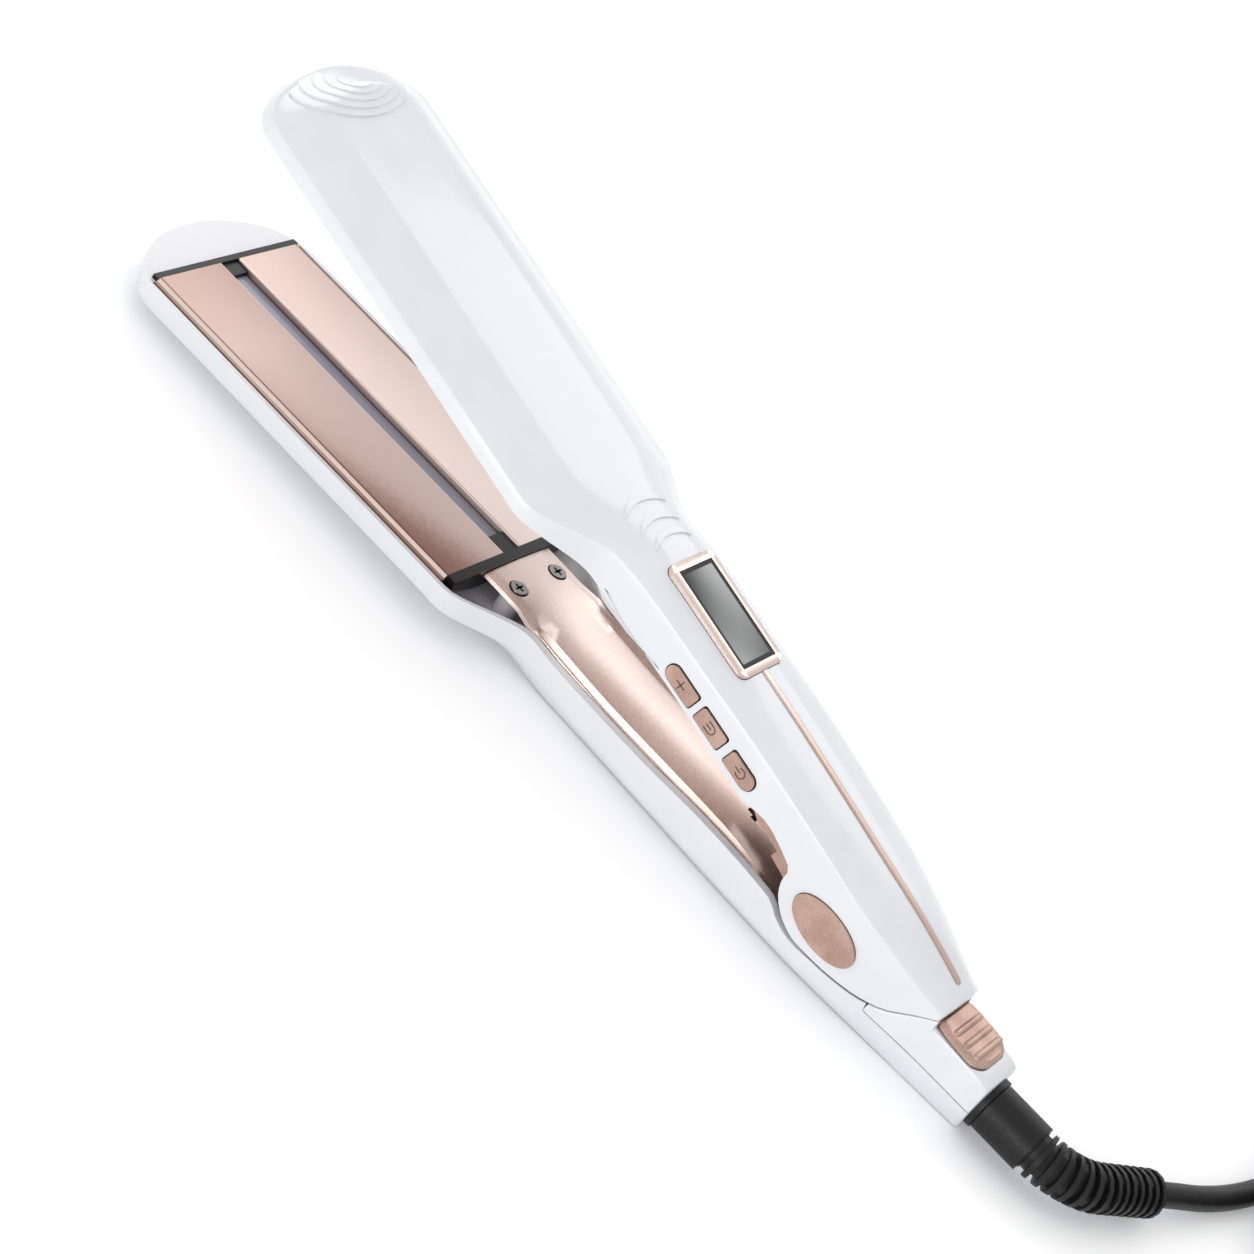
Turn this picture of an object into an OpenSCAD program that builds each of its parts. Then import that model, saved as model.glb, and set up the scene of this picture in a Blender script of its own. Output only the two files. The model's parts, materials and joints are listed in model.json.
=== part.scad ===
// Two-inch hair iron: two hinged arms with paired heated plates, a display,
// three side buttons, a sliding lock and a swivel cord. It lies on its back,
// arms open. Each arm is drawn in its own frame: x = 0 on the hinge axis, +X to
// the tips, +Y to the button side, z = 0 in the plane where the plates meet.

/* [Plates] */
// Length of the heated plates
plate_l = 100; // [80:1:110]
// Width over both plates, bevels included
plate_w = 53.4; // [50:0.2:54]
// Thickness of a plate
plate_t = 2.4; // [2:0.1:3]
// Width of the long outer bevel of a plate
plate_bevel = 1.9; // [1:0.1:2.5]
// Gap between the two plates of one arm
plate_split = 6.3; // [5:0.1:8]
// Gap left between the closed plates of the two arms
plate_gap = 0.3; // [0.2:0.05:0.6]

/* [Arms] */
// Distance from the hinge axis to the plates' rear ends
handle_l = 114.7; // [105:0.5:125]
// Width of the head that carries the plates
head_w = 56.4; // [55.5:0.2:60]
// Reach of the rounded tip beyond the straight sides
tip_l = 17.2; // [14:0.2:22]
// Width of the handle at its front
handle_w = 32; // [30:0.5:34]
// Width of the handle at the hinge
hinge_w = 29.6; // [28.6:0.2:31]
// Distance from the hinge axis to the tail end
tail_l = 49; // [47:0.5:60]
// Width of the tail end
tail_w = 15.6; // [15:0.2:18]
// Wall of the arm shells
wall = 2; // [1.6:0.1:2.2]
// Wall of the shells at the rim beside the plates
rim_wall = 1.2; // [1:0.05:1.3]
// Height of the rims from the plane where the plates meet
rim_z = 1.2; // [1:0.1:1.5]
// Height of the upper head above that plane
upper_head_h = 9.8; // [9:0.1:12]
// Depth of the lower head below that plane
lower_head_h = 10.6; // [10:0.1:10.6]

/* [Hinge] */
// Angle between the open arms
open_angle = 13.2; // [8:0.2:14]
// Tilt of the lower arm as it lies on its flat back
lie_angle = 2; // [1.8:0.05:2.2]
// Height of the hinge axis above the surface the iron lies on
pivot_h = 17; // [16.8:0.1:18]
// Depth of the hinge axis below the plane where the plates meet
pivot_depth = 1.5; // [1:0.1:2]
// Diameter of the hinge pin
pin_d = 4; // [3:0.1:5]
// Radial running clearance of the hinge pin
pin_play = 0.05; // [0.03:0.01:0.08]
// Outer diameter of the hinge barrel and ears
barrel_d = 9; // [8:0.1:9.6]
// Length of the hinge barrel
barrel_l = 15; // [13:0.5:16]
// Wire diameter of the hinge spring
spring_wire = 1; // [0.8:0.1:1.2]
// Length of the oval hinge caps
cap_l = 19.2; // [16:0.2:20]
// Height of the oval hinge caps
cap_h = 10.7; // [9:0.1:12]

/* [Buttons and display] */
// Height of the three side buttons
button_h = 4.9; // [4:0.1:5]
// Spacing of the side buttons
button_pitch = 11.5; // [11.2:0.1:12]
// Gap around a button in its hole
button_gap = 0.3; // [0.15:0.05:0.3]
// Travel of a button
button_travel = 1; // [0.6:0.1:1]
// Length of the display window
window_l = 25.8; // [22:0.2:27]
// Width of the display window
window_w = 13.4; // [12:0.2:13.6]
// Width of the bezel around the display window
bezel_w = 2.1; // [1.6:0.1:2.4]
// Width of the trim strip along the handle
trim_w = 2; // [1:0.1:2.2]

/* [Lock and swivel] */
// Width of the lock slider
slider_w = 14.8; // [13:0.1:15]
// Length of the lock slider's thumb pad
slider_l = 14.4; // [13:0.1:15]
// Travel of the lock slider
slider_travel = 2.6; // [2.2:0.1:2.6]
// Outer diameter of the swivel barrel
swivel_d = 12.4; // [11:0.1:13]
// Length of the swivel barrel
swivel_l = 13; // [10:0.5:16]
// Diameter of the swivel's spigot in its collar
spigot_d = 8; // [7:0.1:8.4]

/* [Cord] */
// Diameter of the cord
cord_d = 6; // [5:0.1:6.4]
// Radius of the bend protector's curve
relief_r = 18; // [14:0.5:20]
// Ribs of the bend protector
relief_ribs = 14; // [8:1:16]

/* [Hidden] */

white = "#f4f5f7";
rose = "#d9a391";
black = "#26272a";
eps = 0.01;
seat = 0.15;        // gap between pieces that seat on each other
part_gap = 0.35;    // gap between the two arms' shells where they pass each other
pivot_z = -pivot_depth;
half_head = head_w / 2;
plates_x1 = handle_l + plate_l;
bar_t = 1.7;        // front bar of a plate frame, along the arm
rear_bar_t = 2.6;   // rear bar of a plate frame
frame_x0 = handle_l - rear_bar_t;
frame_x1 = plates_x1 + bar_t;
tip_x0 = plates_x1 - 2.7;
tip_x1 = tip_x0 + tip_l;
neck_x1 = handle_l - 1.7;
neck_x0 = neck_x1 - 21;
rear_x = -30;       // rear end of the upper arm
table_run = 80;     // front end of the flat back the lower handle lies on

// ---- helpers -------------------------------------------------------------
function clamp01(t) = min(max(t, 0), 1);
function smooth(t) = let (c = clamp01(t)) c * c * (3 - 2 * c);
function span_of(k, x, i = 0) = i >= len(k) - 2 || x <= k[i + 1][0] ? i : span_of(k, x, i + 1);
function slope_of(k, i) =
    let (a = max(i - 1, 0), b = min(i + 1, len(k) - 1))
    (k[b][1] - k[a][1]) / (k[b][0] - k[a][0]);
// smooth curve through [x, value] pairs, flat beyond its ends
function curve(k, x) =
    x <= k[0][0] ? k[0][1] :
    x >= k[len(k) - 1][0] ? k[len(k) - 1][1] :
    let (i = span_of(k, x), h = k[i + 1][0] - k[i][0], t = (x - k[i][0]) / h,
         m = slope_of(k, i) * h, n = slope_of(k, i + 1) * h)
    k[i][1] * (2 * t^3 - 3 * t^2 + 1) + m * (t^3 - 2 * t^2 + t)
    + k[i + 1][1] * (3 * t^2 - 2 * t^3) + n * (t^3 - t^2);
// three points that round the corner b between a and c at distance r, or less on short edges
function rounded(a, b, c, r) =
    let (k = min(r, 0.45 * norm(a - b), 0.45 * norm(c - b)),
         p = b + (a - b) / norm(a - b) * k, q = b + (c - b) / norm(c - b) * k)
    [p, (p + 2 * b + q) / 4, q];
function steps(a, b, n) = [for (i = [0:n]) a + (b - a) * i / n];

// a lofted solid from half sections: each station is a list of [x, y, z] points
// with y > 0, and the other half is their mirror image; the sections may be
// listed upwards or downwards
module loft(stations) {
    n = len(stations);
    m = len(stations[0]);
    w = 2 * m;
    up = stations[0][0][2] < stations[0][m - 1][2];
    points = [for (s = stations) each concat(s, [for (j = [m - 1:-1:0]) [s[j][0], -s[j][1], s[j][2]]])];
    sides = [for (i = [0:n - 2]) for (j = [0:w - 1])
        let (a = i * w + j, b = i * w + (j + 1) % w)
        each [[a, b, b + w], [a, b + w, a + w]]];
    first = [for (j = [0:m - 2]) let (b = j + 1, c = w - 2 - j, d = w - 1 - j) each [[j, d, c], [j, c, b]]];
    e = (n - 1) * w;
    last = [for (f = first) [f[0] + e, f[2] + e, f[1] + e]];
    faces = concat(sides, first, last);
    polyhedron(points = points, faces = up ? [for (f = faces) [f[2], f[1], f[0]]] : faces, convexity = 8);
}

// place a piece of the lower or the upper arm
module in_arm(angle) translate([0, 0, pivot_h]) rotate([0, angle, 0])
    translate([0, 0, pivot_depth]) children();
module in_lower() in_arm(lie_angle) children();
module in_upper() in_arm(lie_angle - open_angle) children();
// a cylinder along X or Y
module rod_x(r, x0, x1, fn = 48) translate([x0, 0, 0]) rotate([0, 90, 0])
    cylinder(r = r, h = x1 - x0, $fn = fn);
module rod_y(r, y0, y1, fn = 48) translate([0, y0, 0]) rotate([-90, 0, 0])
    cylinder(r = r, h = y1 - y0, $fn = fn);

// ---- outlines shared by both arms ------------------------------------------
function grip_w(x) = curve([[-tail_l, tail_w / 2], [rear_x, 9.1], [-15, 12.4], [0, hinge_w / 2],
    [14, 15.3], [45, 15.8], [neck_x0, handle_w / 2]], x);
function plan_w(x) = let (g = grip_w(x)) g + (half_head - g) * smooth((x - neck_x0) / (neck_x1 - neck_x0));

// height of the upper arm's lower edge; the cheek beside the hinge is an oval
cheek_x = 1.5;
cheek_rx = 13.2;
cheek_rz = 9.6;
function upper_rim(x) =
    x > cheek_x + cheek_rx ? curve([[15, 0.6], [20.5, 1.9], [25.5, 2.6], [29, 2.1], [31.5, 0.9],
        [34, 0.4], [44, 0.6], [60, 0.9], [neck_x0 - 8, 0.3], [neck_x0 + 6, 0.4],
        [neck_x1 - 6, rim_z]], x) :
    x > cheek_x ? -cheek_rz * sqrt(1 - ((x - cheek_x) / cheek_rx)^2) :
    curve([[rear_x, 6.9], [-25.8, 2.6], [-21.6, -2.2], [-16, -5.5], [-11, -7.2], [-6, -8.4],
        [cheek_x, -cheek_rz]], x);
// the same edge as it lies beside the lower arm when the arms are open by t
function swung(p, t) = [p[0] * cos(t) - (p[1] - pivot_z) * sin(t),
                        pivot_z + p[0] * sin(t) + (p[1] - pivot_z) * cos(t)];
cheek_stations = [for (a = [3:8.7:90]) cheek_x + cheek_rx * cos(a)];
edge_stations = concat([rear_x, rear_x + 0.3, rear_x + 0.9], steps(rear_x + 1.9, cheek_x, 15), [for (i = [len(cheek_stations) - 1:-1:0]) cheek_stations[i]],
    [16, 18]);
swept_edge = [for (t = steps(0, open_angle, 4)) [for (x = edge_stations) swung([x, upper_rim(x)], t)]];
function height_on(line, x, i = 0) =
    x < line[0][0] || x > line[len(line) - 1][0] ? 100 :
    i >= len(line) - 2 || x <= line[i + 1][0] ?
        line[i][1] + (line[i + 1][1] - line[i][1]) * (x - line[i][0]) / (line[i + 1][0] - line[i][0]) :
        height_on(line, x, i + 1);
// lowest height that the upper arm's edge reaches above station x, less the gap
function swept_low(x) = min([for (l = swept_edge) min(height_on(l, x - part_gap),
    height_on(l, x), height_on(l, x + part_gap))]) - part_gap;
function lower_rim(x) = min(swept_low(x), curve([[-20, -4], [2, -5.5], [12, -5.6], [17, -5], [24, -4.3], [38, -3.7],
    [54, -4], [70, -3.7], [neck_x0 - 8, -3.2], [neck_x0, -2.2], [neck_x1 - 8, -rim_z]], x));

// half section of the upper arm at x, grown by g: wall, ridge, slope and crown
function upper_half(x, g, rim) =
    let (w = plan_w(x),
         ridge = [w - 0.4 + g, curve([[rear_x, 7.9], [-24, 8.1], [-10, 9.4], [5, 10.4], [20, 11], [41, 11.4],
             [60, 10.9], [neck_x0 - 7, 10], [neck_x1 - 9, 6.6], [neck_x1, 5]], x) + g],
         top = [curve([[rear_x, 5.6], [0, 8.2], [30, 9], [neck_x0 - 2, 9.2], [neck_x0 + 8, 10.6],
             [neck_x1, 14], [neck_x1 + 5, 14.5]], x) + g * 0.6,
             curve([[rear_x, 9], [-25, 9.9], [-10, 11.3], [5, 11.9], [20, 12.4], [41, 12.9], [60, 12.8],
             [neck_x0 - 7, 12.4], [neck_x1 - 9, 10], [neck_x1, upper_head_h - 0.4]], x) + g],
         crown = [top[0] * 0.55, curve([[rear_x, 9.5], [-25, 10.5], [-10, 12], [8, 12.6], [20, 13], [41, 13.5],
             [60, 13.5], [neck_x0 - 7, 13.3], [neck_x0 + 8, 11.3], [neck_x1, upper_head_h]], x) + g],
         foot = [w + g, rim])
    concat([foot], rounded(foot, ridge, top, 1.6), rounded(ridge, top, crown, 1.6), [crown]);
function crown_z(x) = let (h = upper_half(x, 0, 0)) h[len(h) - 1][1];
// half section of the lower arm at x: wall, lower edge and flat back
table_slope = tan(lie_angle);
table_z0 = pivot_z - pivot_h / cos(lie_angle);
function table_z(x) = table_z0 + x * table_slope;
function lower_back(x) = let (t = smooth((x - table_run) / 30))
    (table_z(min(x, table_run)) - 0.4) * (1 - t) - lower_head_h * t;
function lower_half(x, g, rim) =
    let (w = plan_w(x),
         edge = [w - 0.3 + g, curve([[-tail_l, -14.6], [-34, -14.8], [-10, -14.6], [14, -13.6], [31, -12.9], [47, -12.2],
             [65, -11.2], [neck_x0 - 12, -9.6], [neck_x0, -8.4], [neck_x1 - 8, -7.6], [neck_x1 + 4, -7]], x) - g],
         back = [curve([[-tail_l, 5], [-20, 8], [10, 10], [neck_x0 - 12, 10.4], [neck_x1 - 8, 13],
             [neck_x1 + 4, 14.5]], x) + g * 0.6, lower_back(x) - g],
         foot = [w + g, rim])
    concat([foot], rounded(foot, edge, back, 1.6), rounded(edge, back, [0, back[1]], 1.6));
// stations of an arm: along x, then around the half-elliptical tip
function place(x, half) = [for (p = half) [x, p[0], p[1]]];
// rise: how much each level of the tip falls back per millimetre of its height;
// slim: above 1, the corners of the tip are cut back
function tip_station(a, half, reach, rise, slim = 1) = [for (p = half)
    [tip_x0 + (reach * p[0] / half[0][0] - rise * abs(p[1] - half[0][1])) * sin(a),
     p[0] * pow(cos(a), slim), p[1]]];
tip_angles = [10, 20, 30, 40, 50, 60, 68, 75, 81, 86];
neck_stations = concat(steps(neck_x0, neck_x1, 9), [neck_x1 + 5, tip_x0]);
upper_tip_l = tip_l - 1.8;
function upper_tip(a, g) = tip_station(a, upper_half(tip_x0, g, rim_z), upper_tip_l, 0.45, 1.3);
// how much an end is drawn in at distance d from it, so that its edge is rounded
end_r = 0.8;
function end_round(d) = d >= end_r ? 0 : end_r - sqrt(end_r^2 - (end_r - d)^2);
module upper_solid(g) loft(concat(
    [for (x = edge_stations) place(x, upper_half(x, g - end_round(x - rear_x), upper_rim(x)))],
    [for (x = [21:3:34]) place(x, upper_half(x, g, upper_rim(x)))],
    [for (x = steps(40, neck_x0 - 7, 6)) place(x, upper_half(x, g, upper_rim(x)))],
    [for (x = neck_stations) place(x, upper_half(x, g, upper_rim(x)))],
    [for (a = tip_angles) upper_tip(a, g)]));
// stations and half-widths where the hollow of a head narrows beside the front bar
front_bar_w = plate_w - 2.2;
hollow_end = [[plates_x1 + 0.08, half_head - rim_wall], [plates_x1 + 0.16, front_bar_w / 2 + seat],
    [frame_x1 + seat, front_bar_w / 2 + seat]];
rear_wall = 1.2;    // wall across the upper arm's rear end, over the lock slider
module upper_hollow() loft(concat(
    [for (x = concat(steps(rear_x + rear_wall, 20, 14), steps(26, neck_x0 - 7, 8)))
        place(x, upper_half(x, -wall, -20))],
    [for (x = concat(steps(neck_x0, neck_x1, 9), [neck_x1 + 5]))
        let (h = upper_half(x, -wall, rim_z), t = smooth((x - neck_x0) / 18), w = h[0][0] + (wall - rim_wall) * t)
        place(x, concat([[w, -20], [w, rim_z + 1.3]], [for (i = [2:len(h) - 1]) h[i]]))],
    [for (e = hollow_end) let (h = upper_half(tip_x0, -wall, rim_z))
        place(e[0], concat([[e[1], -20], [e[1], rim_z + 1.3]], [for (i = [2:len(h) - 1]) h[i]]))]));

// ---- lower arm -------------------------------------------------------------
seam_x0 = -17;      // front end of the tail cover
seam_gap = 0.2;     // seam between the tail cover and the lower shell
function seam_z(x) = curve([[-tail_l, -12.9], [-29, -12.2], [seam_x0, -10.9], [seam_x0 + 6, -9.6]], x);
function lower_edge(x) = x < seam_x0 ? seam_z(x) : lower_rim(x);
tail_end = [-tail_l, -tail_l + 0.2, -tail_l + 0.8];
lower_stations = concat(tail_end, steps(-tail_l + 3, seam_x0 - 0.4, 8), [seam_x0], steps(-15, 16, 16), [18, 20, 24, 30],
    steps(38, neck_x0 - 7, 6), neck_stations);
module lower_solid() loft(concat(
    [for (x = lower_stations) place(x, lower_half(x, -end_round(x + tail_l), lower_edge(x)))],
    [for (a = tip_angles) tip_station(a, lower_half(tip_x0, 0, -rim_z), tip_l, 0.1)]));
module lower_hollow() loft(concat(
    [for (x = concat(steps(-tail_l + 2.4, 20, 10), steps(26, neck_x0 - 7, 6)))
        place(x, lower_half(x, -wall, 20))],
    [for (x = concat(steps(neck_x0, neck_x1, 9), [neck_x1 + 5]))
        let (h = lower_half(x, -wall, 0), t = smooth((x - neck_x0) / 18), w = h[0][0] + (wall - rim_wall) * t)
        place(x, concat([[w, 20], [w, -rim_z - 3]], [for (i = [2:len(h) - 1]) h[i]]))],
    [for (e = hollow_end) let (h = lower_half(tip_x0, -wall, 0))
        place(e[0], concat([[e[1], 20], [e[1], -rim_z - 3]], [for (i = [2:len(h) - 1]) h[i]]))]));
gland_z = -12.6;    // height of the swivel's axis
collar_r = swivel_d / 2 + 0.5;
neck_r = spigot_d / 2 + 1;    // collar's sleeve through the tail wall
module lower_shell() color(white) in_lower() difference() {
    union() {
        difference() {
            lower_solid();
            lower_hollow();
        }
        screw_posts(lower_back(screw_x) + wall - 0.5);
    }
    translate([0, 0, table_z0]) rotate([0, -lie_angle, 0])
        translate([-tail_l - 10, -40, -20]) cube([tail_l + table_run + 80, 80, 20]);
    translate([0, 0, gland_z]) rod_x(neck_r + 0.05, -tail_l - 5, -tail_l + 6);
}

// top half of the tail: a cradle under the upper arm's tail, then a closed end
function tail_top(x) = curve([[-tail_l, -5.3], [-46.5, -4.4], [-40, -3.8], [-31, -3.1]], x);
function cover_edge(x) = x > -31.2 ? min(swept_low(x), tail_top(x) + 3) : tail_top(x);
function cover_half(x, g, foot_z, top_z) =
    let (w = grip_w(x), foot = [w + g, foot_z], edge = [w - 0.3 + g, top_z], top = [w * 0.55, top_z + 0.15])
    concat([foot], rounded(foot, edge, top, 1.4), [top]);
cover_x1 = seam_x0 - 0.4;
module cover_outer() loft([for (x = concat(tail_end, steps(-tail_l + 2.5, -31.4, 6), steps(-31, cover_x1, 7)))
    let (g = -end_round(x + tail_l))
    place(x, cover_half(x, g, seam_z(x) + seam_gap, max(cover_edge(x) + g, seam_z(x) + seam_gap + 1.5)))]);
module cover_cradle() loft([for (x = steps(-31.2, cover_x1 + 3, 7))
    place(x, cover_half(x, -wall, seam_z(x) - 5, tail_top(x) + 10))]);
module cover_room() loft([for (x = steps(-tail_l + 2.4, -31, 7))
    place(x, cover_half(x, -wall, seam_z(x) - 5, tail_top(x) - 1.6))]);
stem_w = 8;         // width of the lock slider's tongue
tongue_x0 = -44;
tongue_x1 = -27.2;
tongue_z0 = -6.8;
tongue_z1 = -4.85;
module tail_cover() color(white) in_lower() difference() {
    cover_outer();
    cover_cradle();
    cover_room();
    translate([tongue_x0 - 0.3, -stem_w / 2 - 0.15, tongue_z0 - 0.2])
        cube([tongue_x1 - tongue_x0 + slider_travel + 1, stem_w + 0.3, 8]);
    pad_place() translate([0, 0, -2.05]) linear_extrude(6) hull() {
        slider_outline(1, -0.25);
        translate([slider_travel + 0.2, 0]) slider_outline(1, -0.25);
    }
    translate([0, 0, gland_z]) rod_x(neck_r + 0.05, -tail_l - 5, -tail_l + 6);
}

// lock slider: a ribbed thumb pad on a tongue that runs in the tail cover's slot
slider_x1 = 18.2 - tail_l;
slider_x0 = slider_x1 - slider_l;
rib_z = 0.9;
slider_front_w = 13.8;   // width of the pad's front, which slips between the upper arm's walls
slider_round = 4.5;
module slider_outline(r_front, inset) hull() for (s = [-1, 1]) {
    translate([slider_x1 - r_front - inset, s * (slider_front_w / 2 - r_front - inset)]) circle(r = r_front, $fn = 32);
    translate([slider_x1 - 3.4 - r_front, s * (slider_w / 2 - r_front - inset)]) circle(r = r_front, $fn = 32);
    translate([slider_x0 + slider_round + inset, s * (slider_w / 2 - slider_round - inset)])
        circle(r = slider_round, $fn = 32);
}
slider_tilt = -5.2;
module pad_place() translate([slider_x1, 0, -1.2]) rotate([0, slider_tilt, 0]) translate([-slider_x1, 0, 0]) children();
module lock_slider() color(rose) in_lower() {
    pad_place() {
        hull() {
            translate([0, 0, -1.6]) linear_extrude(0.5) slider_outline(1, 0);
            translate([0, 0, -0.9]) linear_extrude(0.01) slider_outline(1, 0);
            translate([0, 0, -0.01]) linear_extrude(0.01) slider_outline(1, 0.9);
        }
        for (i = [0:2]) hull() for (s = [-1, 1])
            translate([slider_x1 - 4.6 - i * 3.3, s * slider_w * 0.36, -0.25]) sphere(r = rib_z, $fn = 16);
    }
    translate([tongue_x0, -stem_w / 2, tongue_z0]) cube([tongue_x1 - tongue_x0, stem_w, tongue_z1 - tongue_z0]);
    translate([tongue_x0 + 1, -stem_w / 2 + 1, tongue_z1 - eps]) cube([9, stem_w - 2, 2.5]);
}

// black heat-proof frame of one arm, drawn for the lower arm
frame_w = head_w - 2 * rim_wall - 0.4;
frame_top = -plate_gap / 2 - plate_t - 0.05;
// the frame's sloping side: half-width and depth below its top
frame_edge = [[frame_w / 2 - 1.2, 0], [frame_w / 2 - 2.1, 0.3], [frame_w / 2 - 3.8, 0.9], [15, 3]];
heater_t = 1.4;
heater_w = 12;
heater_l = plate_l - 10;
strip_w = plate_split - 0.6;
strip_z = -2;
block_w = plate_split - 0.3;
plate_y = (plate_split + plate_w) / 4;   // middle of one plate
module plate_frame(front_w, rear_w, post_z) difference() {
    union() {
        translate([frame_x0, 0, 0]) rotate([90, 0, 90]) linear_extrude(frame_x1 - frame_x0) polygon([
            for (q = [[-1, 1], [1, -1]]) each [for (e = q[0] < 0 ? frame_edge : [for (i = [3:-1:0]) frame_edge[i]])
                [q[0] * e[0], frame_top - e[1]]]]);
        translate([plates_x1 + 0.05, -front_w / 2, frame_top - eps]) cube([bar_t - 0.05, front_w, -frame_top - plate_gap / 2]);
        translate([frame_x0, -rear_w / 2, frame_top - eps]) cube([rear_bar_t - 0.05, rear_w, -frame_top - plate_gap / 2]);
        translate([plates_x1 - 4, -block_w / 2, frame_top - eps]) cube([5, block_w, -frame_top - 0.9]);
        translate([handle_l - 1, -block_w / 2, frame_top - eps]) cube([6.6, block_w, -frame_top - 0.9]);
        for (x = [handle_l + 12, plates_x1 - 12]) for (y = [-9, 9]) translate([x, y, post_z])
            cylinder(d = 5, h = frame_top - post_z - 1, $fn = 32);
    }
    for (s = [-1, 1]) translate([handle_l + 5 - 0.2, s * plate_y - heater_w / 2 - 0.2, frame_top - heater_t])
        cube([heater_l + 0.4, heater_w + 0.4, heater_t + 1]);
}
// one plate, drawn on the near side of the lower arm: a bar with a wide bevel
plate_edge = 0.5;
module plate_profile() polygon(concat(
    [[plate_split / 2, -plate_t], [plate_split / 2, -plate_edge]],
    [for (a = [180:-15:90]) [plate_split / 2 + plate_edge + plate_edge * cos(a), -plate_edge + plate_edge * sin(a)]],
    [for (a = [90:-10:42]) [plate_w / 2 - plate_bevel + plate_bevel * 0.25 * cos(a),
                            -plate_bevel * 0.25 + plate_bevel * 0.25 * sin(a)]],
    [[plate_w / 2, -plate_bevel * 0.8], [plate_w / 2, -plate_t + 0.2], [plate_w / 2 - 0.5, -plate_t]]));
module plate() translate([handle_l, 0, -plate_gap / 2]) rotate([90, 0, 90]) linear_extrude(plate_l) plate_profile();
module plate_heaters() for (s = [-1, 1]) translate([handle_l + 5, s * plate_y - heater_w / 2, frame_top - heater_t + 0.02])
    cube([heater_l, heater_w, heater_t]);
module infrared_strip() translate([handle_l + 5.7, -strip_w / 2, frame_top + 0.02])
    cube([plate_l - 9.8, strip_w, strip_z - frame_top]);
module lower_plate_frame() color(black) in_lower()
    plate_frame(front_bar_w, plate_w - 3.6, -lower_head_h + wall + seat);
module lower_plate_near() color(rose) in_lower() plate();
module lower_plate_far() color(rose) in_lower() mirror([0, 1, 0]) plate();
module lower_infrared_strip() color("#8f8c99") in_lower() infrared_strip();
module lower_heaters() color("#e8e6e0") in_lower() plate_heaters();

// inner cover of a handle, drawn for the lower arm
liner_t = 1.6;
liner_x0 = 12;
liner_x1 = frame_x0 - 0.15;
liner_front_w = 25.4;
liner_fit = 0.3;    // gap between a liner's edge and the shell's wall
function liner_hw(x) = min(plan_w(x) - wall - liner_fit,
    liner_front_w / 2 + smooth((neck_x0 + 7 - x) / 12) * 20);
function lower_liner_edge(x) = curve([[liner_x0, -8.4], [20, -6.4], [32, -4.9], [50, -4.4], [70, -4.1],
    [neck_x0 - 4, -2.9], [neck_x0 + 8, -1.6], [neck_x1, -1.3]], x);
function lower_liner_mid(x) = curve([[liner_x0, -7.8], [22, -5.2], [36, -3.9], [56, -3], [76, -2.3], [neck_x0, -1.4],
    [neck_x0 + 10, -0.9], [liner_x1, -0.8]], x);
// the upper liner, drawn upside down, stays flat and ends short of the notch
upper_liner_x0 = 32;
function upper_liner_t(x) = 1.1 + 0.5 * smooth((x - 66) / 14);
function upper_liner_edge(x) = curve([[upper_liner_x0, -0.8], [60, -0.75], [neck_x0, -0.75], [neck_x1, -1.1]], x);
function upper_liner_mid(x) = curve([[upper_liner_x0, -0.3], [liner_x1, -0.4]], x);
liner_ridge_x = neck_x0 + 4;    // front end of the liner's raised line
function liner_half(w, e, m, h, t) = let (r = w - 2.6)
    [[0.4, m - t], [w - t, e - t], [w, e - t / 2], [w - 0.4, e + 0.4 * h], [r + 0.9, e + 0.1 - 0.5 * h], [r, e + 0.25 + h],
     [r - 1, e + 0.35], [w * 0.45, (m + m + e) / 3 + 0.05], [0.4, m]];
slot_at = [30.8, -1.3];    // middle of the cross-shaped slot near the hinge
module lower_cover() loft([for (x = concat(steps(liner_x0, neck_x0 - 6, 14), steps(neck_x0 - 3, liner_x1, 8)))
    place(x, liner_half(liner_hw(x), lower_liner_edge(x), lower_liner_mid(x),
        0.9 * smooth((liner_ridge_x - x) / 6) * smooth((x - liner_x0) / 14), liner_t))]);
module upper_cover() loft([for (x = concat(steps(upper_liner_x0, neck_x0 - 6, 8), steps(neck_x0 - 3, liner_x1, 8)))
    place(x, liner_half(liner_hw(x), upper_liner_edge(x), upper_liner_mid(x), 0,
        upper_liner_t(x)))]);
screw_x = handle_l - 9.6;
screw_y = 7.7;
screw_boss = [3.4, 1.5];    // radius and depth of a screw's recess
module screw_holes() for (s = [-1, 1]) translate([screw_x, s * screw_y, 0]) {
    translate([0, 0, -screw_boss[1] - 0.4]) cylinder(d = 5, h = 4, $fn = 32);
    translate([0, 0, -6]) cylinder(d = 2.4, h = 6, $fn = 32);
}
// posts of a shell that carry the liner and take its screws
post_top = lower_liner_mid(screw_x) - liner_t - 1.35;
module screw_posts(z0) for (s = [-1, 1]) translate([screw_x, s * screw_y, 0]) difference() {
    translate([0, 0, z0]) cylinder(d = 6, h = post_top - z0, $fn = 32);
    translate([0, 0, z0 - 1]) cylinder(d = 2.4, h = 20, $fn = 32);
}
screw_head_z = -1.7;
module liner_screw() {
    difference() {
        translate([0, 0, screw_head_z - 0.1]) cylinder(d = 4.4, h = 1.1, $fn = 48);
        for (a = [0, 90]) rotate([0, 0, a]) translate([-1.3, -0.3, screw_head_z + 0.3]) cube([2.6, 0.6, 2]);
    }
    translate([0, 0, -6.5]) cylinder(d = 2.2, h = 4.8, $fn = 32);
}
module liner_screws() for (s = [-1, 1]) translate([screw_x, s * screw_y, 0]) liner_screw();
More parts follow.
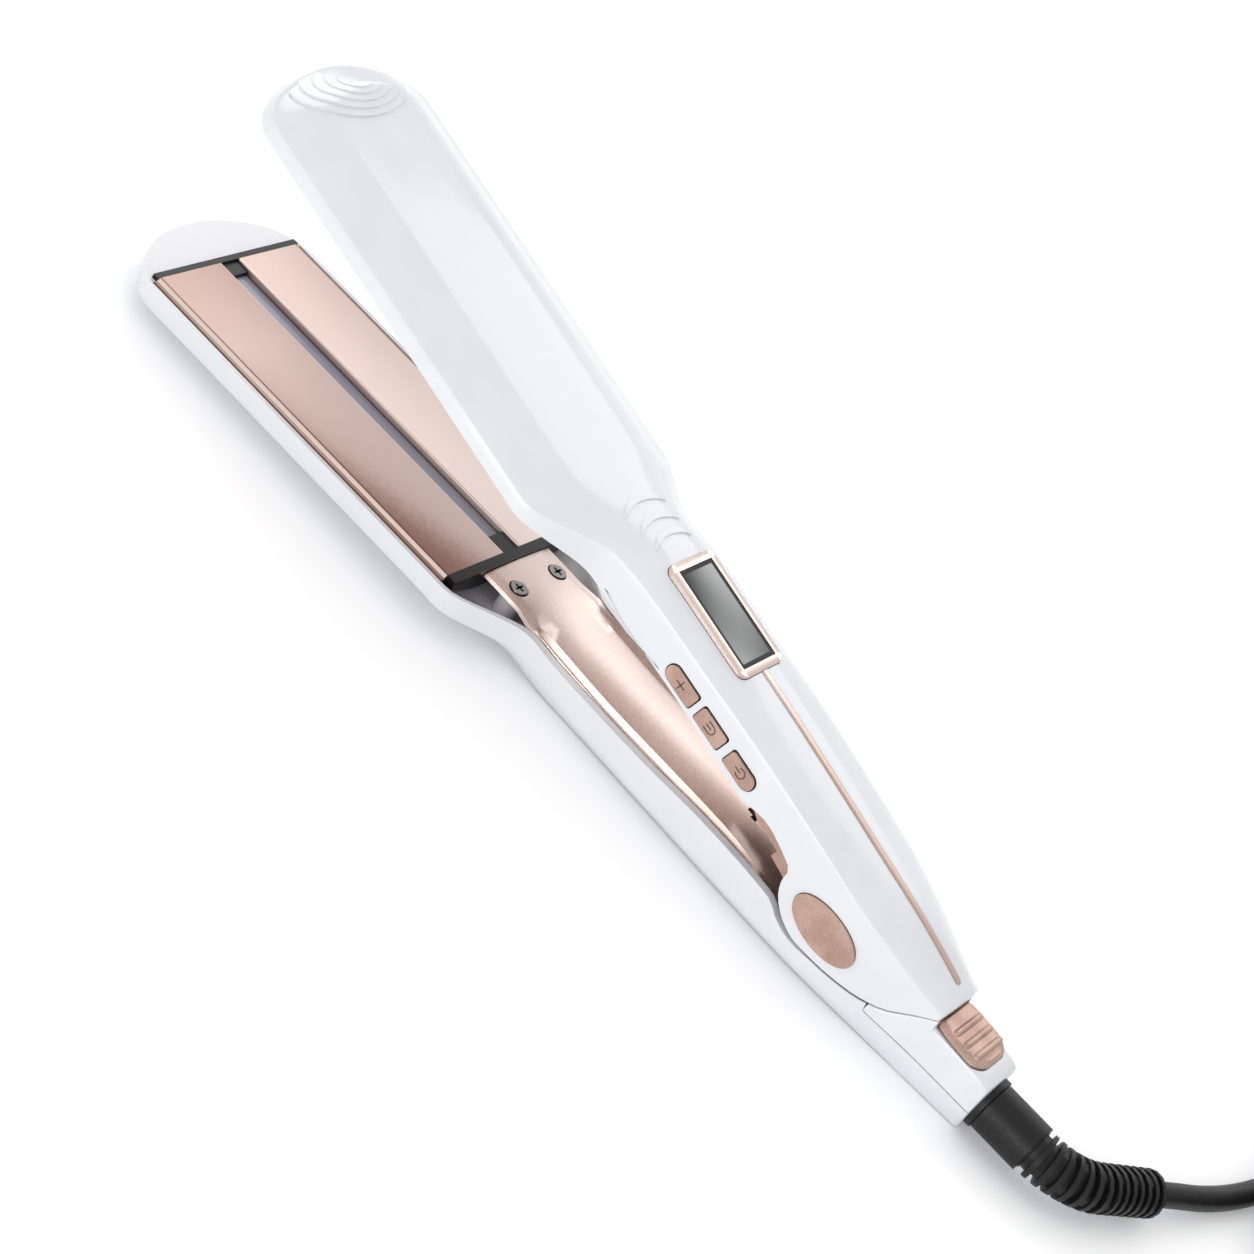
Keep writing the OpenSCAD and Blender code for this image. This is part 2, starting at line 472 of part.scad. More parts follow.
module lower_liner() color(rose) in_lower() difference() {
    lower_cover();
    screw_holes();
    for (c = [[5.2, 1.8], [1.6, 3.8]]) translate([slot_at[0] - c[0] / 2, slot_at[1] - c[1] / 2, -10]) cube([c[0], c[1], 20]);
}
module lower_liner_screws() color("#3a3a3e") in_lower() liner_screws();

// ---- hinge -----------------------------------------------------------------
ear_y0 = barrel_l / 2 + 0.2;
ear_y1 = grip_w(-barrel_d / 2) - wall - 0.25;
module at_hinge() translate([0, 0, pivot_z]) children();
module hinge_barrel() color(black) in_lower() at_hinge() difference() {
    union() {
        rod_y(barrel_d / 2, -barrel_l / 2, barrel_l / 2);
        translate([-3, -2, table_z(0) - pivot_z + wall - 0.1]) cube([6, 4, pivot_z - table_z(0) - wall - 2]);
    }
    rod_y(pin_d / 2 + pin_play, -barrel_l, barrel_l);
}
module hinge_pin() color("#b9bcc2") in_upper() at_hinge() rod_y(pin_d / 2, -ear_y1, ear_y1);
cheek_plate = [[13, 1], [14.5, -0.3], [18, -0.6], [28, -0.4], [31, 0.8], [31.5, 5], [16, 6]];
module hinge_ear() difference() {
    union() {
        hull() {
            rod_y(barrel_d / 2, ear_y0, ear_y1);
            translate([17, ear_y0, -2.6]) cube([3, ear_y1 - ear_y0, 3.4]);
        }
        hull() {
            translate([14, ear_y0, 0]) cube([6, ear_y1 - ear_y0, 0.8]);
            translate([16, ear_y0, 5]) cube([15, ear_y1 - ear_y0, 3]);
        }
        translate([0, ear_y1, 0]) rotate([90, 0, 0]) linear_extrude(0.9) polygon(cheek_plate);
    }
    rod_y(pin_d / 2, -20, 20);
}
module hinge_ears() color(rose) in_upper() at_hinge() for (s = [0, 1]) mirror([0, s, 0]) hinge_ear();
spring_r = barrel_d / 2 + 0.15 + spring_wire / 2;
spring_turns = 3;
spring_pitch = spring_wire * 1.4;
spring_sides = 8;
function coil_point(r, a, y) = [r * cos(a), y, r * sin(a)];
module coil_spring(r, d, y0, pitch, turns, per_turn = 20) {
    n = turns * per_turn;
    points = [for (i = [0:n]) for (j = [0:spring_sides - 1])
        let (a = 360 * i / per_turn, b = 360 * j / spring_sides)
        coil_point(r + d / 2 * cos(b), a, y0 + pitch * i / per_turn + d / 2 * sin(b))];
    sides = [for (i = [0:n - 1]) for (j = [0:spring_sides - 1])
        let (a = i * spring_sides + j, b = i * spring_sides + (j + 1) % spring_sides)
        each [[a, b, b + spring_sides], [a, b + spring_sides, a + spring_sides]]];
    polyhedron(points = points, faces = concat(sides, [[for (j = [spring_sides - 1:-1:0]) j]],
        [[for (j = [0:spring_sides - 1]) n * spring_sides + j]]), convexity = 6);
}
module hinge_spring() color("#9a9da3") in_lower() at_hinge()
    coil_spring(spring_r, spring_wire, 2.6, spring_pitch, spring_turns);
cap_t = 0.95;
cap_seat_y = hinge_w / 2 - 0.8;   // depth of the caps' pockets at the hinge axis
cap_taper = 4.6;                  // the cheeks' taper in plan, which the caps follow
module cap_disc(grow, h) translate([0, cap_seat_y, pivot_z]) rotate([0, 0, cap_taper]) rotate([-90, 0, 0])
    scale([1, (cap_h + grow) / (cap_l + grow), 1]) cylinder(d = cap_l + grow, h = h, $fn = 64);
module hinge_cap() translate([0, 0.02, 0]) cap_disc(0, cap_t);
module hinge_cap_near() color(rose) in_upper() hinge_cap();
module hinge_cap_far() color(rose) in_upper() mirror([0, 1, 0]) hinge_cap();

// ---- upper arm -------------------------------------------------------------
button_z = 4.25;
button_x = 50;       // middle of the middle button
button_len = [10.4, 9.4, 9.6];
module button_outline(i, g) {
    l = button_len[i] + 2 * g;
    h = button_h + 2 * g;
    r = 0.8;
    end = h * 0.48;     // radius of the round end of the outer buttons
    front = i == 0 ? end : r;
    rear = i == 2 ? end : r;
    hull() for (s = [-1, 1]) {
        translate([l / 2 - front, s * (h / 2 - front)]) circle(r = front, $fn = 32);
        translate([-l / 2 + rear, s * (h / 2 - rear)]) circle(r = rear, $fn = 32);
    }
}
function button_at(i) = button_x + (1 - i) * button_pitch;
wall_y = 15.8;
module at_button(i) translate([button_at(i), 0, button_z]) rotate([90, 0, 0]) children();
module side_button(i) {
    at_button(i) translate([0, 0, -wall_y - 0.35]) linear_extrude(3.4) button_outline(i, -button_gap);
    at_button(i) translate([-button_len[i] / 2 - 0.6, -1.5, -wall_y + wall + 0.65]) cube([button_len[i] + 1.2, 3, 0.7]);
}
module button_plus() color(rose) in_upper() side_button(0);
module button_mode() color(rose) in_upper() side_button(1);
module button_power() color(rose) in_upper() side_button(2);
window_x = 69.7;     // middle of the display
window_z = 13.85;
bezel_z = 12.4;     // ledge of the shell that the bezel sits on
module rounded_rect(l, w, r) hull() for (x = [-1, 1]) for (y = [-1, 1])
    translate([x * (l / 2 - r), y * (w / 2 - r)]) circle(r = r, $fn = 24);
// oval finger grip on the tip: steps that follow the tip's shape
grip_x = 218.4;
// half-length, half-width and height of each step
grip_steps = [[10, 18.2, 0.6], [8.2, 15, 1.15], [6.5, 11.6, 1.6], [4.8, 8.3, 2], [3.1, 5.2, 2.3]];
module grip_body(g) loft(concat([for (x = [tip_x0 - 12, tip_x0 - 3, tip_x0]) place(x, upper_half(x, g, 5))],
    [for (a = tip_angles) tip_station(a, upper_half(tip_x0, g, 5), upper_tip_l - 1.7, 0.45, 1.3)]));
module tip_grip() for (k = grip_steps) intersection() {
    grip_body(k[2]);
    translate([grip_x, 0, 6]) scale([k[0] / k[1], 1, 1]) cylinder(r = k[1], h = 10, $fn = 64);
}
// three crescent folds on the neck
fold_x = [103.3, 98, 93.4];
fold_w = [8.6, 8, 7.4];
fold_rise = 4.1;
fold_t = 1.9;
module crescent(w) {
    outer = (w^2 + fold_rise^2) / (2 * fold_rise);
    inner_rise = fold_rise - fold_t;
    inner = (w^2 + inner_rise^2) / (2 * inner_rise);
    difference() {
        translate([-outer, 0]) circle(r = outer, $fn = 96);
        translate([-fold_t - inner, 0]) circle(r = inner, $fn = 128);
        translate([-3 * outer, -2 * outer]) square([3 * outer - fold_rise + 0.2, 4 * outer]);
    }
}
module neck_folds() intersection() {
    loft([for (x = steps(86, 106, 8)) place(x, upper_half(x, 0.45, 6))]);
    translate([0, 0, 7]) linear_extrude(10) for (i = [0:2]) translate([fold_x[i], 0]) crescent(fold_w[i]);
}
// shallow lens in the wall above the lower rim
lens_at = [78, 1.4];
lens_l = 22;
lens_h = 2.3;
module rim_lens() {
    r = (lens_l^2 / 4 + lens_h^2 / 4) / lens_h;
    translate([lens_at[0], wall_y + 4, lens_at[1]]) rotate([90, 0, 0]) linear_extrude(4.35) intersection() {
        translate([0, r - lens_h / 2]) circle(r = r, $fn = 256);
        translate([0, -r + lens_h / 2]) circle(r = r, $fn = 256);
    }
}
module upper_shell() color(white) in_upper() difference() {
    union() {
        difference() {
            union() {
                upper_solid(0);
                tip_grip();
                neck_folds();
            }
            upper_hollow();
        }
        mirror([0, 0, 1]) screw_posts(-crown_z(screw_x) + wall - 0.5);
    }
    for (s = [0, 1]) mirror([0, s, 0]) rim_lens();
    for (i = [0:2]) at_button(i) translate([0, 0, -wall_y - 2]) linear_extrude(6) button_outline(i, 0);
    translate([window_x - window_l / 2 - 0.1, -window_w / 2 - 0.1, 5]) cube([window_l + 0.2, window_w + 0.2, 20]);
    translate([window_x, 0, bezel_z - 0.05]) linear_extrude(10) bezel_outline(0.15);
    for (s = [0, 1]) mirror([0, s, 0]) cap_disc(0.3, 6);
}
trim_x0 = -26;      // rear end of the trim strip
module bezel_outline(g) rounded_rect(window_l + 2 * (bezel_w + g), window_w + 2 * (bezel_w + g), 2.2 + g);
module display_bezel() color(rose) in_upper() {
    difference() {
        translate([window_x, 0, 0]) hull() {
            translate([0, 0, bezel_z]) linear_extrude(window_z - bezel_z - 0.1) bezel_outline(0);
            translate([0, 0, window_z]) linear_extrude(0.15) bezel_outline(-0.3);
        }
        translate([window_x - window_l / 2 - 0.05, -window_w / 2 - 0.05, 5]) cube([window_l + 0.1, window_w + 0.1, 20]);
    }
    loft([for (x = concat([trim_x0, trim_x0 + 0.15, trim_x0 + 0.4], steps(trim_x0 + trim_w / 2, window_x - window_l / 2 - bezel_w - 0.1, 20)))
        let (z = crown_z(x), w = trim_w / 2 * sqrt(1 - max(0, 1 - (x - trim_x0) / (trim_w / 2) - 0.02)^2))
        place(x, [[w, z + 0.03], [w, z + 0.25], [w * 0.6, z + 0.4]])]);
}
module display_window() color("#2b2e31") in_upper()
    translate([window_x - window_l / 2, -window_w / 2, window_z - 1.5]) cube([window_l, window_w, 1.5]);
module display_module() color("#3d4a44") in_upper()
    translate([window_x - window_l / 2 + 0.4, -window_w / 2 + 0.4, window_z - 1.6 - 3]) cube([window_l - 0.8, window_w - 0.8, 3]);
board_z = 6.4;
board_x0 = 34;
board_l = 50;
module circuit_board() color("#2f6b3c") in_upper() {
    translate([board_x0, -10.2, board_z]) cube([board_l, 20.4, 1.6]);
    translate([window_x - 10, -4, board_z + 1.6 - eps]) cube([20, 8, window_z - 4.7 - board_z - 1.6]);
    translate([board_x0 + 4, -7, board_z + 1.6 - eps]) cube([9, 9, 1.4]);
}
module button_switches() color("#3c3c40") in_upper() for (i = [0:2]) {
    translate([button_at(i) - 3, 8.4, board_z - 3.1]) cube([6, 2.4, 3]);
    translate([button_at(i), 0, button_z + 0.4]) rod_y(0.9, 10.8 - eps, 11.3, 24);
}
// height at which the board's posts are rooted in the liner
post_z0 = 1.1;
module upper_liner() color(rose) in_upper() difference() {
    union() {
        mirror([0, 0, 1]) upper_cover();
        for (x = [board_x0 + 3, board_x0 + board_l - 3]) for (y = [-6.4, 6.4]) translate([x, y, post_z0])
            cylinder(d = 3, h = board_z - post_z0 - 0.05, $fn = 32);
    }
    mirror([0, 0, 1]) screw_holes();
}
module upper_liner_screws() color("#3a3a3e") in_upper() mirror([0, 0, 1]) liner_screws();
module upper_plate_frame() color(black) in_upper() mirror([0, 0, 1])
    plate_frame(front_bar_w, plate_w - 3.6, -upper_head_h + wall + 0.35);
module upper_plate_near() color(rose) in_upper() mirror([0, 0, 1]) plate();
module upper_plate_far() color(rose) in_upper() mirror([0, 0, 1]) mirror([0, 1, 0]) plate();
module upper_infrared_strip() color("#8f8c99") in_upper() mirror([0, 0, 1]) infrared_strip();
module upper_heaters() color("#e8e6e0") in_upper() mirror([0, 0, 1]) plate_heaters();
// hooked leg inside the upper tail; with the arms closed, the slider's tongue
// runs under its toe and keeps the tail from dropping
module lock_catch() color(white) in_upper() {
    translate([-20, -4, -4.6]) cube([2.4, 8, 12.3]);
    translate([-26.6, -4, -4.6]) cube([6.8, 8, 1.6]);
}

// ---- swivel, cord and plug -------------------------------------------------
collar_t = 1.5;
module at_gland() in_lower() translate([-tail_l, 0, gland_z]) children();
module swivel_collar() color(black) at_gland() difference() {
    union() {
        rod_x(collar_r, -collar_t - 0.05, -0.05, 64);
        rod_x(neck_r, -0.1, 3);
        rod_x(neck_r + 0.4, 2.55, 4);
    }
    rod_x(spigot_d / 2 + 0.05, -5, 6, 64);
}
barrel_x = -collar_t - 0.3;
module swivel_barrel() color(black) at_gland() difference() {
    union() {
        rod_x(swivel_d / 2, barrel_x - swivel_l, barrel_x, 64);
        rod_x(spigot_d / 2, barrel_x - 0.1, 5, 64);
        rod_x(spigot_d / 2 + 0.9, 4.6, 5.6, 64);
    }
    rod_x(cord_d / 2 + 0.1, -30, 8);
    rod_x(swivel_d / 2 - 1, barrel_x - swivel_l - 1, barrel_x - swivel_l + 3);
}
relief_turn = 61;
relief_core = 8.6;
relief_roll = 6.5;
relief_straight = 18;
relief_pitch = 2.5;
rib_t = 1.1;
relief_bend = relief_r * relief_turn * PI / 180;
relief_sides = 16;
// centre and heading of the relief's curve at distance s along it
function relief_at(s) = s < 0 ? [[-s, 0, 0], 0] : s < relief_bend ?
    let (a = s / relief_bend * relief_turn) [[-relief_r * sin(a), -relief_r * (1 - cos(a)), 0], a] :
    let (e = s - relief_bend) [[-relief_r * sin(relief_turn) - e * cos(relief_turn),
        -relief_r * (1 - cos(relief_turn)) - e * sin(relief_turn), 0], relief_turn];
// a ring of the relief; bars of radius bar_r join the ribs at two places, turned from gap to gap
function is_bar(k, turn) = (k + turn) % (relief_sides / 2) < 2;
function relief_ring(s, r, bar_r, turn) = let (p = relief_at(s))
    [for (k = [0:relief_sides - 1]) let (b = 360 * k / relief_sides, q = is_bar(k, turn) ? max(r, bar_r) : r)
        p[0] + q * [cos(b) * sin(p[1]), -cos(b) * cos(p[1]), sin(b)]];
relief_bar = 5.3;
relief_steps = concat([[-2.8, swivel_d / 2 - 1.1, 0, 0], [0.3, swivel_d / 2 - 1.1, 0, 0], [0.35, relief_core / 2, relief_bar, 4]],
    [for (i = [0:relief_ribs - 1]) let (s = 1.6 + i * relief_pitch, r = 5.9 - i * 0.02, t = (i % 2) * relief_sides / 4)
        each [[s, relief_core / 2, relief_bar, 4 - t], [s + 0.05, r, 0, 0], [s + rib_t, r, 0, 0],
              [s + rib_t + 0.05, relief_core / 2, relief_bar, t]]],
    [[relief_bend + relief_straight, relief_core / 2, 0, 0]]);
module swept(rings) {
    n = len(rings);
    w = len(rings[0]);
    sides = [for (i = [0:n - 2]) for (k = [0:w - 1]) let (a = i * w + k, b = i * w + (k + 1) % w)
        each [[a, b, b + w], [a, b + w, a + w]]];
    polyhedron(points = [for (r = rings) each r], convexity = 8,
        faces = concat(sides, [[for (k = [w - 1:-1:0]) k]], [[for (k = [0:w - 1]) (n - 1) * w + k]]));
}
module strain_relief() color(black) at_gland() translate([barrel_x - swivel_l, 0, 0]) rotate([relief_roll, 0, 0])
    swept([for (p = relief_steps) relief_ring(p[0], p[1], p[2], p[3])]);

// the cord's way over the table, from the bend protector to the coil and on to the plug
cord_start = [[-88.6, -24.7, 6.2], [-92.6, -32, 5.4], [-97, -40.5, 4.2], [-101.5, -49.5, 3.3], [-107.4, -63, 3],
    [-118, -91, 3]];
cord_end = [[-179, -67, 3], [-168, -36, 3]];
coil_at = [-148, -78];
coil_r = 33;
coil_w = 20;
coil_h = 19;
cord_sides = 10;
function unit(v) = v / norm(v);
function cross_ring(p, d, r) =
    let (side = unit(cross([0, 0, 1], d)), up = cross(d, side))
    [for (k = [0:cord_sides - 1]) p + r * (side * cos(360 * k / cord_sides) + up * sin(360 * k / cord_sides))];
module tube(way, r) {
    n = len(way);
    heading = [for (i = [0:n - 1]) unit(way[min(i + 1, n - 1)] - way[max(i - 1, 0)])];
    points = [for (i = [0:n - 1]) each cross_ring(way[i], heading[i], r)];
    sides = [for (i = [0:n - 2]) for (k = [0:cord_sides - 1])
        let (a = i * cord_sides + k, b = i * cord_sides + (k + 1) % cord_sides)
        each [[a, b + cord_sides, b], [a, a + cord_sides, b + cord_sides]]];
    polyhedron(points = points, faces = concat(sides, [[for (k = [0:cord_sides - 1]) k]],
        [[for (k = [cord_sides - 1:-1:0]) (n - 1) * cord_sides + k]]), convexity = 4);
}
module cord() color(black) {
    tube(cord_start, cord_d / 2);
    tube(cord_end, cord_d / 2);
}
module cord_coil() color(black) translate([coil_at[0], coil_at[1], 0]) rotate_extrude($fn = 96)
    translate([coil_r - coil_w / 2, 0]) square([coil_w, coil_h]);
plug_l = 34;
plug_w = 34;
plug_t = 14;
prong_l = 19;
prong_d = 4;
prong_pitch = 19;
module at_plug() translate([cord_end[1][0], cord_end[1][1], 0])
    rotate([0, 0, atan2(cord_end[1][1] - cord_end[0][1], cord_end[1][0] - cord_end[0][0])]) children();
module plug() color(black) at_plug() hull() {
    translate([0, -5, 0]) cube([1, 10, 8]);
    translate([12, -plug_w / 2 + 3, 0]) cube([plug_l - 12, plug_w - 6, plug_t]);
    translate([14, -plug_w / 2, 2]) cube([plug_l - 14, plug_w, plug_t - 4]);
}
module plug_pins() color("silver") at_plug() for (s = [-1, 1])
    translate([0, s * prong_pitch / 2, plug_t / 2]) rod_x(prong_d / 2, plug_l + 0.01, plug_l + prong_l);

lower_shell();
tail_cover();
lower_plate_frame();
lower_plate_near();
lower_plate_far();
lower_infrared_strip();
lower_heaters();
lower_liner();
lower_liner_screws();
hinge_barrel();
hinge_pin();
hinge_spring();
lock_slider();
swivel_collar();
swivel_barrel();
strain_relief();
cord();
cord_coil();
plug();
plug_pins();
upper_shell();
upper_plate_frame();
upper_plate_near();
upper_plate_far();
upper_infrared_strip();
upper_heaters();
upper_liner();
upper_liner_screws();
hinge_ears();
hinge_cap_near();
hinge_cap_far();
lock_catch();
display_bezel();
display_window();
display_module();
circuit_board();
button_switches();
button_plus();
button_mode();
button_power();
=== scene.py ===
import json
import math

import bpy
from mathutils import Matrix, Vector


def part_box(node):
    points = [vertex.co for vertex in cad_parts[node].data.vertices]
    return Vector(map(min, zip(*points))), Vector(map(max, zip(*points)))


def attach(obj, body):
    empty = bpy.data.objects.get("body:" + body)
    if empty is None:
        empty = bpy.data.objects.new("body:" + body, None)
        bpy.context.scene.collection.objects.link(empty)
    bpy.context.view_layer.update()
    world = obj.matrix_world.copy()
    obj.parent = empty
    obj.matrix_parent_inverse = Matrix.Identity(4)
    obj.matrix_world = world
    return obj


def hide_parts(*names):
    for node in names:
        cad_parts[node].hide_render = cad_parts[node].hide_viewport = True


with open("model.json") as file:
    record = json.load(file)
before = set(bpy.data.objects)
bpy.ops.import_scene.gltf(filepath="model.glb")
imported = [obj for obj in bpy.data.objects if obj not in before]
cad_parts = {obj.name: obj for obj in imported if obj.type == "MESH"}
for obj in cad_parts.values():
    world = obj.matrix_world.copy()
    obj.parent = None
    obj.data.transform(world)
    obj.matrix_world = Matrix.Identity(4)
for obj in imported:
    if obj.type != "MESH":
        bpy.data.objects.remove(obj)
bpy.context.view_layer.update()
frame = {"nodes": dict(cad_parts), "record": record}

# %% [markdown]
# A hair iron of white moulded plastic lies open on its back. Its solids come
# from the imported frame in metres, so nothing is fitted by eye: this script adds
# the surface finishes, the cord as a real curve, the signs on the buttons and
# the studio round it.

MM = 0.001
nodes = frame["nodes"]

# %% [markdown]
# The camera looks at the iron from the side of its buttons, from above and a
# little behind, with the tips of the arms running to the upper left. A long
# lens from most of a metre away keeps the arms nearly parallel.

# %% Camera
SENSOR_MM, LENS_MM = 36.0, 89.88
EYE = (-0.07817, 0.56392, 0.41993)           # metres
EYE_TURN = (49.2465, -30.8308, -140.3592)    # degrees about X, Y and Z
NEAR_CLIP, FAR_CLIP = 0.05, 20.0             # metres


def put_in_scene(name, data):
    """A new object with this data, linked into the scene."""
    thing = bpy.data.objects.new(name, data)
    bpy.context.scene.collection.objects.link(thing)
    return thing


camera_data = bpy.data.cameras.new("camera")
camera_data.sensor_width = SENSOR_MM
camera_data.lens = LENS_MM
camera_data.clip_start, camera_data.clip_end = NEAR_CLIP, FAR_CLIP
camera = put_in_scene("camera", camera_data)
camera.location = EYE
camera.rotation_euler = [math.radians(a) for a in EYE_TURN]
bpy.context.scene.camera = camera
bpy.context.scene.view_settings.view_transform = "Standard"
print("camera", [round(v, 3) for v in camera.location])

# %% [markdown]
# The mains cord is 1.8 m of 6 mm round cord. It leaves the bend protector, sinks
# to the surface, runs to a neat coil beside the tail and ends in a plug. One
# open spline is the whole cord, so its length is honest. The route is written
# in millimetres, through a smooth curve on the way in and an easy bend on the
# way out.

# %% Cord route
CORD_D = 6 * MM
ROUTE_IN = [(-88.6, -24.7, 6.2), (-92.6, -32, 5.4), (-97, -40.5, 4.2), (-101, -50, 3.3), (-104.6, -61, 3)]
PLUG_ENTRY, PLUG_HEADING = Vector((-168, -36, 3)), Vector((0.334, 0.943, 0))
BEND_REACH = 1.3    # how far an easy bend keeps its first direction; more makes it rounder


def smooth_curve(points, per_span):
    """Points of a Catmull-Rom curve through the given points."""
    pts = [Vector(p) for p in points]
    ends = [2 * pts[0] - pts[1], *pts, 2 * pts[-1] - pts[-2]]
    out = []
    for a, b, c, d in zip(ends, ends[1:], ends[2:], ends[3:]):
        for i in range(per_span):
            t = i / per_span
            out.append(0.5 * (2 * b + (c - a) * t + (2 * a - 5 * b + 4 * c - d) * t * t
                              + (3 * b - a - 3 * c + d) * t ** 3))
    return [*out, pts[-1]]


def easy_bend(start, start_dir, end, end_dir, count):
    """A Hermite curve that leaves start along start_dir and reaches end along end_dir."""
    reach = BEND_REACH * (end - start).length
    leave, arrive = start_dir.normalized() * reach, end_dir.normalized() * reach
    return [(2 * t ** 3 - 3 * t ** 2 + 1) * start + (t ** 3 - 2 * t ** 2 + t) * leave
            + (3 * t ** 2 - 2 * t ** 3) * end + (t ** 3 - t ** 2) * arrive
            for t in (i / count for i in range(count + 1))]


def path_length(points):
    return sum((b - a).length for a, b in zip(points, points[1:]))


print("cord route:", len(ROUTE_IN), "places on the way in")

# %% [markdown]
# The coil is a helix that rises and returns in layers, one diameter apart. It
# is wound from a short table: after so many turns the strand lies so many
# diameters outside the middle and so many layers up. Between two rows it eases
# across, so it never bends tighter than four diameters.

# %% Wind the coil
COIL_CENTRE = (-148, -78)
COIL_MIDDLE_R = 31.8            # radius of the middle strand
STRAND_PITCH = 6.1              # one cord diameter and a little air
LOWEST_STRAND = 3               # height of the lowest layer's centre line
COIL_ENTER, COIL_LEAVE = -8, 165    # angles where the cord joins and leaves the coil, in degrees
TURN_POINTS, SPAN_POINTS, BEND_POINTS = 28, 5, 10    # how finely each stretch is drawn
LEAD = 3                        # the coil's point that the way in is aimed at
part_turn = ((COIL_ENTER - COIL_LEAVE) / 360) % 1
WINDING = [(0, 1, 0), (1, 0, 0), (2, -1, 0), (3, -1, 1), (4, 0, 1), (5, 1, 1), (5.35, 1, 2), (6, -1, 2),
           (6.65, -0.2, 3), (7.3, 0.1, 2), (8, 1, 2), (8 + part_turn, 1.4, 0)]


def coil_points():
    """Points along the whole coil, by the table."""
    out = []
    turns = WINDING[-1][0]
    count = round(turns * TURN_POINTS)
    for i in range(count + 1):
        t = turns * i / count
        row = max(k for k in range(len(WINDING) - 1) if WINDING[k][0] <= t + 1e-9)
        (t0, side0, layer0), (t1, side1, layer1) = WINDING[row:row + 2]
        f = (t - t0) / (t1 - t0)
        ease = f * f * (3 - 2 * f)
        r = COIL_MIDDLE_R + (side0 + (side1 - side0) * ease) * STRAND_PITCH
        a = math.radians(COIL_ENTER) - 2 * math.pi * t
        out.append(Vector((COIL_CENTRE[0] + r * math.cos(a), COIL_CENTRE[1] + r * math.sin(a),
                           LOWEST_STRAND + (layer0 + (layer1 - layer0) * ease) * STRAND_PITCH)))
    return out


coil = coil_points()
run_in = smooth_curve([*ROUTE_IN, coil[0], coil[LEAD]], SPAN_POINTS)[:-SPAN_POINTS]
run_out = easy_bend(coil[-1], coil[-1] - coil[-2], PLUG_ENTRY, PLUG_HEADING, BEND_POINTS)
cord_path = [*run_in[:-1], *coil, *run_out[1:]]
print("cord path", len(cord_path), "points,", round(path_length(cord_path), 1), "mm")

# %% [markdown]
# The route becomes a curve with a round bevel, which stays easy to bend again
# and is as long as its points say. The bevel is one unit and each point's
# radius scales it to half the cord's diameter, so the curve's own box is
# honest too. The plug and its pins stay solids.

# %% Cord piece
cord_curve = bpy.data.curves.new("cord_run", "CURVE")
cord_curve.dimensions = "3D"
cord_curve.bevel_depth = 1.0
cord_curve.bevel_resolution = 4
cord_curve.use_fill_caps = True
spline = cord_curve.splines.new("POLY")
spline.points.add(len(cord_path) - 1)
for point, place in zip(spline.points, cord_path):
    point.co = (*(place * MM), 1)
    point.radius = CORD_D / 2
spline.use_smooth = True
cord_run = put_in_scene("cord_run", cord_curve)
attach(cord_run, "lower_arm")
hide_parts("cord", "cord_coil")
print("cord rides on the lower arm")

# %% [markdown]
# Modifiers and materials are both graphs of nodes. One helper adds a node, sets
# its values and links its inputs, so that a graph reads from top to bottom.

# %% Node helper
def add_node(tree, kind, settings=None, **inputs):
    """A node of that kind. An input is named, or numbered as _0; it takes a value or a socket to link."""
    node = tree.nodes.new(kind)
    for key, value in (settings or {}).items():
        setattr(node, key, value)
    for key, value in inputs.items():
        socket = node.inputs[int(key[1:])] if key[0] == "_" else node.inputs[key.replace("_", " ")]
        if isinstance(value, bpy.types.NodeSocket):
            tree.links.new(value, socket)
        else:
            socket.default_value = value
    return node


# %% [markdown]
# The solids arrive as flat triangles. Moulded plastic has no such creases, so a
# small geometry-nodes modifier welds each solid's triangles, shades them
# smooth and keeps a crease only where two faces meet at more than a set angle.
# The shells have shallow facets, so their angle is smaller.

# %% Smooth shading with real creases kept
SHELLS = ("upper_shell", "lower_shell", "tail_cover")
SHELL_CREASE, OTHER_CREASE = 25, 40    # degrees
WELD_MM = 0.002


def crease_group(name, angle):
    """A geometry-nodes group that smooths a mesh but keeps creases sharper than angle, in degrees."""
    group = bpy.data.node_groups.new(name, "GeometryNodeTree")
    group.interface.new_socket("Geometry", in_out="INPUT", socket_type="NodeSocketGeometry")
    group.interface.new_socket("Geometry", in_out="OUTPUT", socket_type="NodeSocketGeometry")
    start = add_node(group, "NodeGroupInput")
    weld = add_node(group, "GeometryNodeMergeByDistance", Geometry=start.outputs[0], Distance=WELD_MM * MM)
    plain = add_node(group, "GeometryNodeRemoveAttribute", Geometry=weld.outputs[0], Name="custom_normal")
    faces = add_node(group, "GeometryNodeSetShadeSmooth", {"domain": "FACE"}, Geometry=plain.outputs[0])
    smooth = add_node(group, "GeometryNodeSetShadeSmooth", {"domain": "EDGE"}, Geometry=faces.outputs[0],
                      Shade_Smooth=True)
    bend = add_node(group, "GeometryNodeInputMeshEdgeAngle")
    sharp = add_node(group, "FunctionNodeCompare", {"operation": "GREATER_THAN"},
                     _0=bend.outputs["Unsigned Angle"], _1=math.radians(angle))
    creased = add_node(group, "GeometryNodeSetShadeSmooth", {"domain": "EDGE"}, Geometry=smooth.outputs[0],
                       Selection=sharp.outputs[0], Shade_Smooth=False)
    add_node(group, "NodeGroupOutput", _0=creased.outputs[0])
    return group


creases = {angle: crease_group(f"creases_over_{angle}", angle) for angle in (SHELL_CREASE, OTHER_CREASE)}
for name in nodes:
    modifier = nodes[name].modifiers.new("creases", "NODES")
    modifier.node_group = creases[SHELL_CREASE if name in SHELLS else OTHER_CREASE]
print("creases kept on", len(nodes), "solids")

